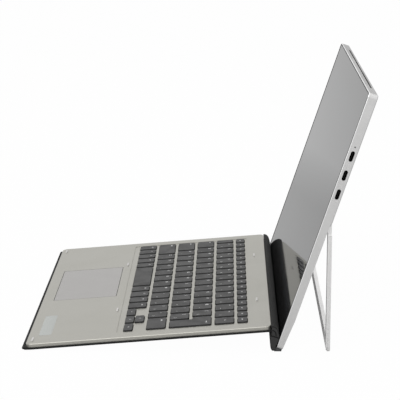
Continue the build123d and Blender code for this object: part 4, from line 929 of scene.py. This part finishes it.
@dataclass
class KeyboardCover:
    """The soft underside of the keyboard, its front lip and its sewn border, in millimetres."""

    half_width: float = 150.0
    front: float = -214.4
    rear: float = 0.0
    deck_front: float = -211.0
    lip_lift: float = 0.75
    lip_start: float = 0.15
    lip_run: float = 1.6
    top: float = -3.2
    bottom: float = -4.9
    corner: float = 2.6
    edge: float = 0.85
    seam_inset: float = 4.2
    channel_depth: float = 0.22
    channel_width: float = 0.7
    stitch: float = 2.1
    stitch_gap: float = 0.9
    thread: float = 0.2

    def build(self, paint: Paint) -> None:
        """Makes the cover and its seam, and hangs both on the keyboard.

        Args:
            paint: Gives the pieces their materials.
        """
        cover = self.shell()
        paint.dress(cover, FINISHES["fabric"])
        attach(cover, "keyboard")
        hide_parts("underside_cover")
        seam = self.seam()
        paint.dress(seam, THREAD_FINISH)
        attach(seam, "keyboard")
        faces = len(cover.data.polygons), len(seam.data.polygons)
        LOG.info("keyboard cover: %d faces, seam %d faces", *faces)

    def shell(self) -> bpy.types.Object:
        """The cover: rings of a rounded rectangle, in along the top, round the edge and in below.

        Round the edge a ring's inset is e (1 - sin t) and its height is the mid height plus
        h cos t, for t from 0 to a half turn. A shallow channel follows the seam under the cover:
        its depth times a bell in the distance from the seam. It starts past the edge's middle.

        Returns:
            The new object.
        """
        turn = np.linspace(0, math.pi, 13)
        half = (self.top - self.bottom) / 2
        middle = (self.top + self.bottom) / 2
        half_y = (self.rear - self.front) / 2
        inner = np.array([half_y, 60, 20, 6, 2.5])
        under = np.array([2.0, 3.0, 3.6, 4.2, 4.8, 5.4, 7, 12, 25, 50, 80, half_y])
        inset = np.concatenate([inner, self.edge * (1 - np.sin(turn)), under])
        edge_height = middle + half * np.cos(turn)
        height = np.concatenate(
            [np.full(inner.size, self.top), edge_height, np.full(under.size, self.bottom)]
        )
        away = (inset - self.seam_inset) / self.channel_width
        below = np.arange(inset.size) > inner.size + 2 + turn.size // 2
        height = height + np.where(below, self.channel_depth * np.exp(-(away**2)), 0)
        ring = rounded_rings(self.half_width, half_y, self.corner, inset, 40)
        y = ring[..., 1] + (self.front + self.rear) / 2
        z = np.broadcast_to(height[:, None], y.shape) + self.lift(y)
        points = PLACE.keyboard(ring[..., 0], y, z)
        return grid_surface("cover_fabric", points, around=True, smooth_angle=70)

    def lift(self, y: np.ndarray) -> np.ndarray:
        """How far the front lip stands up: a smooth step past the deck's front edge."""
        share = np.clip((self.deck_front - self.lip_start - y) / self.lip_run, 0, 1)
        return self.lip_lift * share**2 * (3 - 2 * share)

    def seam(self) -> bpy.types.Object:
        """The stitches round the underside, laid in the channel by a thread's radius.

        Returns:
            The new object.
        """
        half_y = (self.rear - self.front) / 2
        inset = np.array([self.seam_inset])
        ring = rounded_rings(self.half_width, half_y, self.corner, inset, 60)[0]
        x, y = np.concatenate([ring, ring[:1]]).T
        y = y + (self.front + self.rear) / 2
        laid = self.bottom + self.thread
        path, over = PLACE.keyboard(x, y, laid), PLACE.keyboard(x, y, laid - 1)
        sizes = np.array([self.stitch, self.stitch_gap, self.thread]) * MM
        return stitch_run("cover_stitches", path, over - path, *sizes)


@dataclass
class ScreenEdge:
    """The rubber bead round the cover glass and the polished edge of the rim, coloured lighter than
    the shell as painted highlight, in millimetres.
    """

    half_width: float = 150.0
    height: float = 231.9
    corner: float = 3.5
    bead_outer: float = 0.5
    bead_inner: float = 1.4
    bead_rise: float = 0.32
    tuck: float = 0.05
    edge: float = 0.55
    proud: float = 0.02

    def build(self, paint: Paint) -> None:
        """Makes both rings and hangs them on the tablet.

        Args:
            paint: Gives the pieces their materials.
        """
        outer, inner, tuck = self.bead_outer, self.bead_inner, self.tuck
        top, shoulder = -self.bead_rise, -0.6 * self.bead_rise
        bead = self.ring(
            "screen_bead",
            [
                (outer, tuck), (outer + tuck, shoulder), ((outer + inner) / 2, top),
                (inner - tuck, shoulder), (inner, tuck),
            ],
        )
        paint.dress(bead, FINISHES["gasket_rubber"])
        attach(bead, "tablet")
        # The polished chamfer strip carries a lighter colour as painted highlight.
        out, chamfer, thick = -self.proud, 0.06, 0.1
        edge = self.ring(
            "rim_edge",
            [
                (out, self.edge), (out, chamfer), (chamfer, out), (outer, out),
                (outer, thick), (thick, self.edge),
            ],
        )
        paint.dress(edge, EDGE_HIGHLIGHT_FINISH)
        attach(edge, "tablet")
        LOG.info("screen edge: %d and %d faces", len(bead.data.polygons), len(edge.data.polygons))

    def ring(self, name: str, section: list[tuple[float, float]]) -> bpy.types.Object:
        """A closed section carried round the tablet's outline.

        Args:
            name: The piece's name.
            section: Each point's inset from the outline and depth from the glass, in order.

        Returns:
            The new object.
        """
        inset, depth = np.array(section + section[:1]).T
        outline = rounded_rings(self.half_width, self.height / 2, self.corner, inset, 24)
        points = PLACE.tablet(outline[..., 0], depth[:, None], outline[..., 1] + self.height / 2)
        return grid_surface(name, points, around=True, smooth_angle=50)


@dataclass
class MagneticFlap:
    """The cloth flap against the glass and the cloth roll to the keyboard, in millimetres."""

    half_width: float = 149.5
    axis_y: float = -2.4
    axis_z: float = -1.95
    foot_radius: float = 1.8
    back_y: float = -0.5
    top_z: float = 9.0
    front_y: float = -8.1
    belly_y: float = -7.6
    belly_z: float = 4.3
    # Radius of the near-black tubes that paint the fold's shadow.
    welt: float = 0.42
    crown: float = 0.12
    # How much of the end outline the lighter end plates (painted light) cover.
    lit_end_share: float = 0.87
    end_radius: float = 0.9
    sway: float = 0.07
    blend_start: tuple[float, float] = (-4.2, 9.4)
    blend_end: tuple[float, float] = (-9.0, 15.6)
    seam_z: float = 7.0
    stitch: float = 2.1
    stitch_gap: float = 0.9
    thread: float = 0.2

    def build(self, paint: Paint) -> None:
        """Makes the flap, the roll and their seams.

        Args:
            paint: Gives the pieces their materials.
        """
        flap = self.flap()
        paint.dress(flap, FINISHES["fabric"])
        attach(flap, "flap")
        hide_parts("hinge_flap")
        # Lighter cloth plates on both ends of the flap: painted light.
        for name, side in (("flap_end_near", 1), ("flap_end_far", -1)):
            lit_end = self.lit_end_plate(name, self.flap_outline(), side)
            paint.dress(lit_end, LIT_END_FINISH)
            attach(lit_end, "flap")
        roll = self.roll()
        paint.dress(roll, FINISHES["fabric"])
        start = PLACE.tablet(0.0, *self.blend_start)
        end = PLACE.tablet(0.0, *self.blend_end)
        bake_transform(roll)
        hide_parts("hinge_crease")
        # Near-black tubes along the fold at both ends: painted shadow.
        for name, side in (("fold_shadow_near", 1), ("fold_shadow_far", -1)):
            welt = self.fold_shadow_tube(name, side)
            paint.dress(welt, FOLD_SHADOW_FINISH)
            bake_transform(welt)
        # Lighter cloth plates on both ends of the roll: painted light.
        for name, side in (("roll_end_near", 1), ("roll_end_far", -1)):
            lit_end = self.lit_end_plate(name, self.roll_outline(), side)
            paint.dress(lit_end, LIT_END_FINISH)
            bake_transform(lit_end)
        seam = self.seam()
        paint.dress(seam, THREAD_FINISH)
        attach(seam, "flap")
        LOG.info("flap and roll: %d and %d faces", len(flap.data.polygons), len(roll.data.polygons))

    def lit_end_plate(self, name: str, outline: np.ndarray, side: int) -> bpy.types.Object:
        """Painted light: a lighter copy of the cloth on one end, standing in for the light that
        falls on the ends; the side outline drawn in, as a thin crowned plate.

        A ring drawn towards the outline's middle by the share k stands out by crown times 1 - k^4.
        The last three rings close the plate inside the cloth.

        Args:
            name: The piece's name.
            outline: Closed side outline in the tablet's frame, in millimetres.
            side: 1 for the end at positive x, -1 for the other.

        Returns:
            The new object.
        """
        middle = outline.mean(axis=0)
        k = np.array([0.0, 0.4, 0.7, 0.9, 1.0, 1.0, 0.5, 0.0])
        out = np.concatenate([self.crown * (1 - k[:5] ** 4), np.full(3, -0.3)])
        grown = middle + self.lit_end_share * k[:, None, None] * (outline - middle)[None]
        x = side * (self.half_width + 0.02 + out)[:, None]
        points = PLACE.tablet(x, grown[..., 0], grown[..., 1])
        return grid_surface(name, points, around=True, smooth_angle=70)

    def flap_outline(self) -> np.ndarray:
        """The flap's side outline: a round foot, a bellied front and a flat back.

        Returns:
            Array of points by two: tablet-frame y and z, in millimetres.
        """
        y, z, r = self.axis_y, self.axis_z, self.foot_radius
        knots = [
            (y + r, z), (y + 0.7 * r, z - 0.7 * r), (y, z - r), (y - 0.8 * r, z - 0.62 * r),
            (y - 1.6 * r, z + 0.9), (-6.35, 1.5), (self.belly_y, self.belly_z), (-8.05, 7.0),
            (self.front_y, self.top_z - 0.6), (self.front_y + 0.5, self.top_z), (-4.2, self.top_z),
            (self.back_y - 0.5, self.top_z), (self.back_y, self.top_z - 0.6), (self.back_y, 6.0),
            (self.back_y - 0.1, 3.0), (-0.8, 0.4),
        ]
        return closed_curve(knots, 4)

    def flap(self) -> bpy.types.Object:
        """The flap, full width."""
        outline = self.flap_outline()
        return bolster("flap_fabric", outline, self.half_width, self.end_radius, self.sway, 0.4)

    def roll_outline(self) -> np.ndarray:
        """The roll's side outline: from the deck's rear to the glass, down to the flap's top.

        Returns:
            Array of points by two: tablet-frame y and z, in millimetres.
        """
        front, back, top = self.front_y, self.back_y, self.top_z
        knots = [
            PLACE.keyboard_in_flap(0.25, -0.25), (-8.3, 17.25), (-6.4, 16.9), (-4.3, 15.5),
            (-2.6, 13.3), (-1.35, 11.2), (back - 0.15, 9.9), (back - 0.25, top + 0.15),
            (-2.4, top), (-4.2, top), (-6.6, top), (front - 0.1, top + 0.35),
            (-8.15, 10.2), (-8.35, 11.4), PLACE.keyboard_in_flap(0.25, -4.4),
            PLACE.keyboard_in_flap(0.22, -2.4),
        ]
        return closed_curve(knots, 4)

    def roll(self) -> bpy.types.Object:
        """The roll, full width."""
        outline = self.roll_outline()
        return bolster("roll_fabric", outline, self.half_width, self.end_radius, self.sway, 1.9)

    def fold_shadow_tube(self, name: str, side: int) -> bpy.types.Object:
        """Painted shadow along the cloth's fold at one end: a near-black tube from under the deck
        towards the glass.

        Its line is the Catmull-Rom curve of its knots. Its section is a circle, flattened across
        the width, that thins to nothing at both ends.

        Args:
            name: The piece's name.
            side: 1 for the end at positive x, -1 for the other.

        Returns:
            The new object.
        """
        low = PLACE.keyboard_in_flap(1.2, -4.0)
        knots = [low, (-8.0, 13.9), (-6.6, 13.6), (-5.2, 12.6), (-4.4, 11.2), (-4.1, 9.8)]
        samples, flatness = 8, 0.8
        line = closed_curve(knots, samples)[: samples * (len(knots) - 1) + 1]
        ahead = np.gradient(line, axis=0)
        ahead /= np.linalg.norm(ahead, axis=1, keepdims=True)
        share = np.linspace(0, 1, len(line))
        thick = self.welt * np.sqrt(np.maximum(1 - (2 * share - 1) ** 6, 0))
        turn = np.linspace(0, 2 * math.pi, 10, endpoint=False)
        out = thick[:, None] * np.cos(turn)[None]
        up = thick[:, None] * np.sin(turn)[None]
        y = line[:, :1] - ahead[:, 1:] * up
        z = line[:, 1:] + ahead[:, :1] * up
        x = side * (self.half_width + 0.05 + flatness * out)
        return grid_surface(name, PLACE.tablet(x, y, z), around=True, smooth_angle=80)

    def seam(self) -> bpy.types.Object:
        """One row of stitches along the flap's front, a little below its top.

        Returns:
            The new object.
        """
        x = np.linspace(-self.half_width + 3, self.half_width - 3, 80)
        laid = self.front_y + 0.1
        path = PLACE.tablet(x, laid, self.seam_z)
        over = PLACE.tablet(x, laid - 1, self.seam_z + 0.2)
        sizes = np.array([self.stitch, self.stitch_gap, self.thread]) * MM
        return stitch_run("flap_stitches", path, over - path, *sizes)


@dataclass(frozen=True)
class Mark:
    """One printed mark: its text, its middle on the deck in millimetres and its height."""

    text: str
    x: float
    depth: float
    size: float


@dataclass(frozen=True)
class LetterRow:
    """A row of equal keys: its body, its two marks a key, and the pitches right of its last key."""

    body: str
    main: str
    second: str
    end: float


@dataclass
class KeyLegends:
    """The faint printed marks on the keys. Sizes are in millimetres, or in key pitches if so named.

    A depth counts from the deck's rear edge. main_place and second_place are where a key's two
    marks stand, across and in depth, from the key's rear left corner.
    """

    field: float = 269.6
    pitches: float = 14.676
    gap: float = 3.15
    row_pitch: float = 19.85
    function_row: float = 24.3
    first_row: float = 31.7
    modifier_pitches: float = 0.855
    right_modifier_pitches: float = 0.912
    arrow_pitches: float = 1.127
    word_drop: float = 4.0
    arrow_drop: float = 12.6
    main_place: tuple[float, float] = (3.6, 4.2)
    second_place: tuple[float, float] = (11.2, 11.8)
    key_top: float = 0.8
    lift: float = 0.005
    thickness: float = 0.03
    letter: float = 3.3
    small: float = 2.6
    word: float = 2.1
    boldness: float = 0.025
    letter_rows: tuple[LetterRow, ...] = (
        LetterRow("number_keys", "1234567890-^=", "!'#$%&()*+=~|", 1.0),
        LetterRow("upper_letter_keys", "QWERTYUIOP@[", "..........'{", 1.377),
        LetterRow("middle_letter_keys", "ASDFGHJKL;:]", ".........+*}", 1.089),
        LetterRow("lower_letter_keys", "ZXCVBNM,./_", ".......<>?|", 1.649),
    )

    def build(self, paint: Paint) -> None:
        """Makes one piece of marks for each body of keys that carries any.

        Args:
            paint: Gives the pieces their materials.
        """
        for body, marks in self.layout().items():
            piece = self.printed(f"legend_{body}", marks)
            paint.dress(piece, LEGEND_FINISH)
            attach(piece, body)
            LOG.info("legends on %s: %d marks", body, len(marks))

    def layout(self) -> dict[str, list[Mark]]:
        """Each body's marks: the rows from the rear, then the single keys and the last row.

        Returns:
            Marks by the name of the body that carries them.
        """
        pitch, half = self.field / self.pitches, self.field / 2
        depth = [self.first_row + self.row_pitch * row for row in range(5)]
        words = [row + self.word_drop for row in depth]
        rows = {"function_keys": self.function_marks(half)}
        for letters, row_depth in zip(self.letter_rows, depth):
            start = half - (len(letters.main) + letters.end) * pitch
            rows[letters.body] = self.lettered(letters, start, pitch, row_depth)
        rows["number_keys"].append(Mark("`", -7 * pitch, depth[0] + 5, self.letter))
        rows["upper_letter_keys"].append(Mark("tab", 5.5 - half, words[1], self.word))
        rows["middle_letter_keys"].append(Mark("caps", 6.5 - half, words[2], self.word))
        rows["backspace_key"] = [Mark("←", half - pitch / 2, depth[0] + 8, self.letter)]
        rows["enter_key"] = [Mark("enter", half - 8.6, words[1], self.word)]
        rows["left_shift_key"] = [Mark("shift", 7.5 - half, words[3], self.word)]
        rows["right_shift_key"] = [Mark("shift", half - 22.0, words[3], self.word)]
        left_width, right_width = self.modifier_pitches * pitch, self.right_modifier_pitches * pitch
        arrow = self.arrow_pitches * pitch
        arrows = half - 3 * arrow
        rows["modifier_keys"] = [
            Mark(text, left_width * (place + 0.5) - half, words[4], self.word)
            for place, text in enumerate(["ctrl", "fn", "○", "alt", "◇"])
        ]
        rows["modifier_keys"] += [
            Mark(text, arrows - right_width * (3.5 - place), words[4], self.word)
            for place, text in enumerate(["◆", "□", "alt", "ctrl"])
        ]
        low = depth[4] + self.arrow_drop
        rows["side_arrow_keys"] = [
            Mark("←", arrows + arrow / 2, low, self.small),
            Mark("→", arrows + 2.5 * arrow, low, self.small),
        ]
        rows["down_arrow_key"] = [Mark("↓", arrows + 1.5 * arrow, low, self.small)]
        rows["up_arrow_key"] = [Mark("↑", arrows + 1.5 * arrow, words[4], self.small)]
        return rows

    def function_marks(self, half: float) -> list[Mark]:
        """The words on the rear row, whose equal keys fill the field of the given half width.

        Args:
            half: Half the field's width.

        Returns:
            One mark for each key.
        """
        names = ["esc", *(f"f{number}" for number in range(1, 13)), "ins", "prt", "del", "pwr"]
        width = self.field / len(names)
        return [
            Mark(text, width * (place + 0.5) - half, self.function_row, self.word)
            for place, text in enumerate(names)
        ]

    def lettered(self, row: LetterRow, start: float, pitch: float, depth: float) -> list[Mark]:
        """Marks of a row of equal keys: each key's main mark, and then its smaller one.

        Args:
            row: The row's marks.
            start: Where its first key's pitch begins, across the deck.
            pitch: Spacing of the keys.
            depth: Depth of the keys' rear edge.

        Returns:
            Two marks for each key.
        """
        marks = []
        for place, (main, second) in enumerate(zip(row.main, row.second)):
            left = start + pitch * place + self.gap / 2
            for text, (across, down), size in (
                (main, self.main_place, self.letter), (second, self.second_place, self.small),
            ):
                marks.append(Mark(text, left + across, depth + down, size))
        return marks

    def glyph(self, text: str) -> tuple[np.ndarray, list[tuple[int, ...]]]:
        """A mark's solid outline at a size of one, centred: its points and its faces.

        Args:
            text: The mark's characters.

        Returns:
            Points by three, and each face's point numbers.
        """
        curve = bpy.data.curves.new("mark", "FONT")
        curve.body = text
        curve.align_x, curve.align_y = "CENTER", "CENTER"
        curve.resolution_u = 2
        curve.offset = self.boldness
        curve.extrude = 0.5
        holder = bpy.data.objects.new("mark", curve)
        bpy.context.scene.collection.objects.link(holder)
        mesh = bpy.data.meshes.new_from_object(holder)
        points = np.empty(len(mesh.vertices) * 3, np.float32)
        mesh.vertices.foreach_get("co", points)
        faces = [tuple(face.vertices) for face in mesh.polygons]
        bpy.data.objects.remove(holder)
        bpy.data.curves.remove(curve)
        bpy.data.meshes.remove(mesh)
        return points.reshape(-1, 3).astype(float), faces

    def printed(self, name: str, marks: list[Mark]) -> bpy.types.Object:
        """All marks of one body as one thin mesh on the key tops.

        Args:
            name: The piece's name.
            marks: The marks on it.

        Returns:
            The new object.
        """
        points, faces, count = [], [], 0
        for mark in marks:
            outline, sides = self.glyph(mark.text)
            x = mark.x + outline[:, 0] * mark.size
            y = -mark.depth + outline[:, 1] * mark.size
            z = self.key_top + self.lift + (outline[:, 2] + 0.5) * self.thickness
            points.append(PLACE.keyboard(x, y, z))
            faces += [tuple(corner + count for corner in side) for side in sides]
            count += len(outline)
        return mesh_piece(name, np.concatenate(points), faces, 20)


@dataclass
class DeckLabel:
    """A blank pale label on the palm rest. Sizes are in millimetres."""

    x_low: float = 75.0
    x_high: float = 128.0
    depth_low: float = 191.0
    depth_high: float = 202.0
    thickness: float = 0.08
    corner: float = 1.0

    def build(self, paint: Paint) -> None:
        """Makes the label and lays it on the deck.

        Args:
            paint: Gives the pieces their materials.
        """
        half_x, half_y = (self.x_high - self.x_low) / 2, (self.depth_high - self.depth_low) / 2
        inset = np.array([half_y, 0.1, 0.0, 0.0, 0.1, half_y])
        height = np.array([1.0, 1.0, 0.6, 0.0, 0.0, 0.0]) * self.thickness + 0.004
        ring = rounded_rings(half_x, half_y, self.corner, inset, 6)
        x = ring[..., 0] + (self.x_low + self.x_high) / 2
        y = ring[..., 1] - (self.depth_low + self.depth_high) / 2
        label = grid_surface("palm_label", PLACE.keyboard(x, y, height[:, None]), around=True)
        paint.dress(label, LABEL_FINISH)
        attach(label, "keyboard")
        LOG.info("label: %d faces", len(label.data.polygons))


def aimed(place: Spot, aim: Spot) -> Euler:
    """The turn that makes a camera or a lamp at a place look at a point."""
    return (Vector(aim) - Vector(place)).to_track_quat("-Z", "Y").to_euler()


@dataclass(frozen=True)
class Lamp:
    """A square soft lamp: where it stands, what it is turned to, its side and its watts."""

    name: str
    place: Spot
    aim: Spot
    size: float
    power: float

    def build(self) -> None:
        """Makes the lamp."""
        data = bpy.data.lights.new(self.name, "AREA")
        data.size, data.energy = self.size, self.power
        lamp = bpy.data.objects.new(self.name, data)
        lamp.location = self.place
        lamp.rotation_euler = aimed(self.place, self.aim)
        bpy.context.scene.collection.objects.link(lamp)


@dataclass
class Studio:
    """Camera, floor and soft light. Lengths are in metres, angles in degrees.

    floor_white is the floor's share of plain white where the camera sees it, and floor_mirrored
    where the part mirrors it. The second grows with the distance from the middle, from
    mirrored_from to mirrored_to.
    """

    eye: Spot = (1.32678, 0.02531, 0.42547)
    target: Spot = (0.0, 0.00026, 0.09611)
    lens: float = 131.28
    sensor: float = 36.0
    floor_radius: float = 4.0
    floor_drop: float = 0.0002
    floor_colour: Colour = (0.68, 0.68, 0.68)
    floor_white: float = 0.98
    floor_mirrored: float = 0.55
    mirrored_from: float = 0.6
    mirrored_to: float = 1.05
    fill: float = 0.64
    lamps: tuple[Lamp, ...] = (
        Lamp("soft_top", (0.2, -0.3, 1.9), (0.0, 0.0, 0.05), 2.4, 11.0),
        Lamp("soft_side", (1.9, -0.9, 1.3), (0.0, 0.0, 0.1), 1.6, 24.0),
        Lamp("soft_back", (-1.4, 1.2, 1.5), (0.0, 0.0, 0.1), 1.6, 3.0),
    )

    def build(self) -> None:
        """Makes the camera, the floor, the world and the lamps."""
        self.camera()
        self.floor()
        self.world()
        for lamp in self.lamps:
            lamp.build()
        bpy.context.scene.view_settings.view_transform = "Standard"

    def camera(self) -> None:
        """The photograph's viewpoint."""
        data = bpy.data.cameras.new("camera")
        data.lens, data.sensor_width = self.lens, self.sensor
        camera = bpy.data.objects.new("camera", data)
        camera.location = self.eye
        camera.rotation_euler = aimed(self.eye, self.target)
        bpy.context.scene.collection.objects.link(camera)
        bpy.context.scene.camera = camera

    def floor(self) -> None:
        """A pale round floor: rings of growing radius, at the power 1.5 of their number."""
        radius = self.floor_radius * np.linspace(0, 1, 24)[:, None] ** 1.5
        turn = np.linspace(0, 2 * math.pi, 64, endpoint=False)
        x, y = radius * np.cos(turn), radius * np.sin(turn)
        points = np.stack([x, y, np.full(x.shape, -self.floor_drop)], axis=-1)
        floor = grid_surface("studio_floor", points, around=True)
        floor.data.materials.append(self.floor_material())

    def floor_material(self) -> bpy.types.Material:
        """The floor's material: matt, but white to the camera and, far out, to mirroring pieces.

        To every other ray it is matt, so it keeps the shadow and lights the part from below.

        Returns:
            The material.
        """
        material = bpy.data.materials.new("studio_floor")
        material.use_nodes = True
        bench = NodeBench(material.node_tree)
        grain = bench.add("ShaderNodeTexNoise", {"Scale": 3.0, "Detail": 2.0}).outputs["Fac"]
        colour = bench.vector("MULTIPLY", self.floor_colour, bench.spread(grain, 0.98, 1.02))
        matt = bench.add("ShaderNodeBsdfDiffuse", {"Color": colour}).outputs[0]
        plain = {"Color": (1, 1, 1, 1), "Strength": 1.0}
        white = bench.add("ShaderNodeEmission", plain).outputs[0]
        ray = bench.add("ShaderNodeLightPath").outputs
        seen = bench.math("MAXIMUM", ray["Is Camera Ray"], ray["Is Transmission Ray"])
        reach = bench.add("ShaderNodeVectorMath", {0: bench.place()}, operation="LENGTH")
        far = bench.ramp(reach.outputs["Value"], self.mirrored_from, self.mirrored_to)
        glossy = bench.math("MULTIPLY", ray["Is Glossy Ray"], far)
        mirrored = bench.math("MULTIPLY", glossy, self.floor_mirrored)
        share = bench.math("MULTIPLY", bench.math("MAXIMUM", seen, mirrored), self.floor_white)
        mix = bench.add("ShaderNodeMixShader", {0: share, 1: matt, 2: white}).outputs[0]
        bench.add("ShaderNodeOutputMaterial", {"Surface": mix})
        return material

    def world(self) -> None:
        """An even white surround, dimmer as a light than as a background."""
        world = bpy.data.worlds.new("studio")
        world.use_nodes = True
        bpy.context.scene.world = world
        bench = NodeBench(world.node_tree)
        ray = bench.add("ShaderNodeLightPath").outputs
        seen = bench.math("MAXIMUM", ray["Is Camera Ray"], ray["Is Glossy Ray"])
        seen = bench.math("MAXIMUM", seen, ray["Is Transmission Ray"])
        light, white = (
            bench.add("ShaderNodeBackground", {"Color": (1, 1, 1, 1), "Strength": power}).outputs[0]
            for power in (self.fill, 1.0)
        )
        mix = bench.add("ShaderNodeMixShader", {0: seen, 1: light, 2: white}).outputs[0]
        bench.add("ShaderNodeOutputWorld", {"Surface": mix})


def write_sizes() -> None:
    """Brings the view layer up to date."""
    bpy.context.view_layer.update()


def main() -> None:
    """Builds every sub-assembly in order and reports each."""
    logging.basicConfig(level=logging.INFO, format="%(name)s: %(message)s")
    paint = Paint(EffectLibrary())
    paint.dress_frame(frame["nodes"])
    ScreenEdge().build(paint)
    KeyboardCover().build(paint)
    MagneticFlap().build(paint)
    KeyLegends().build(paint)
    DeckLabel().build(paint)
    Studio().build()
    write_sizes()


if __name__ == "__main__":
    main()
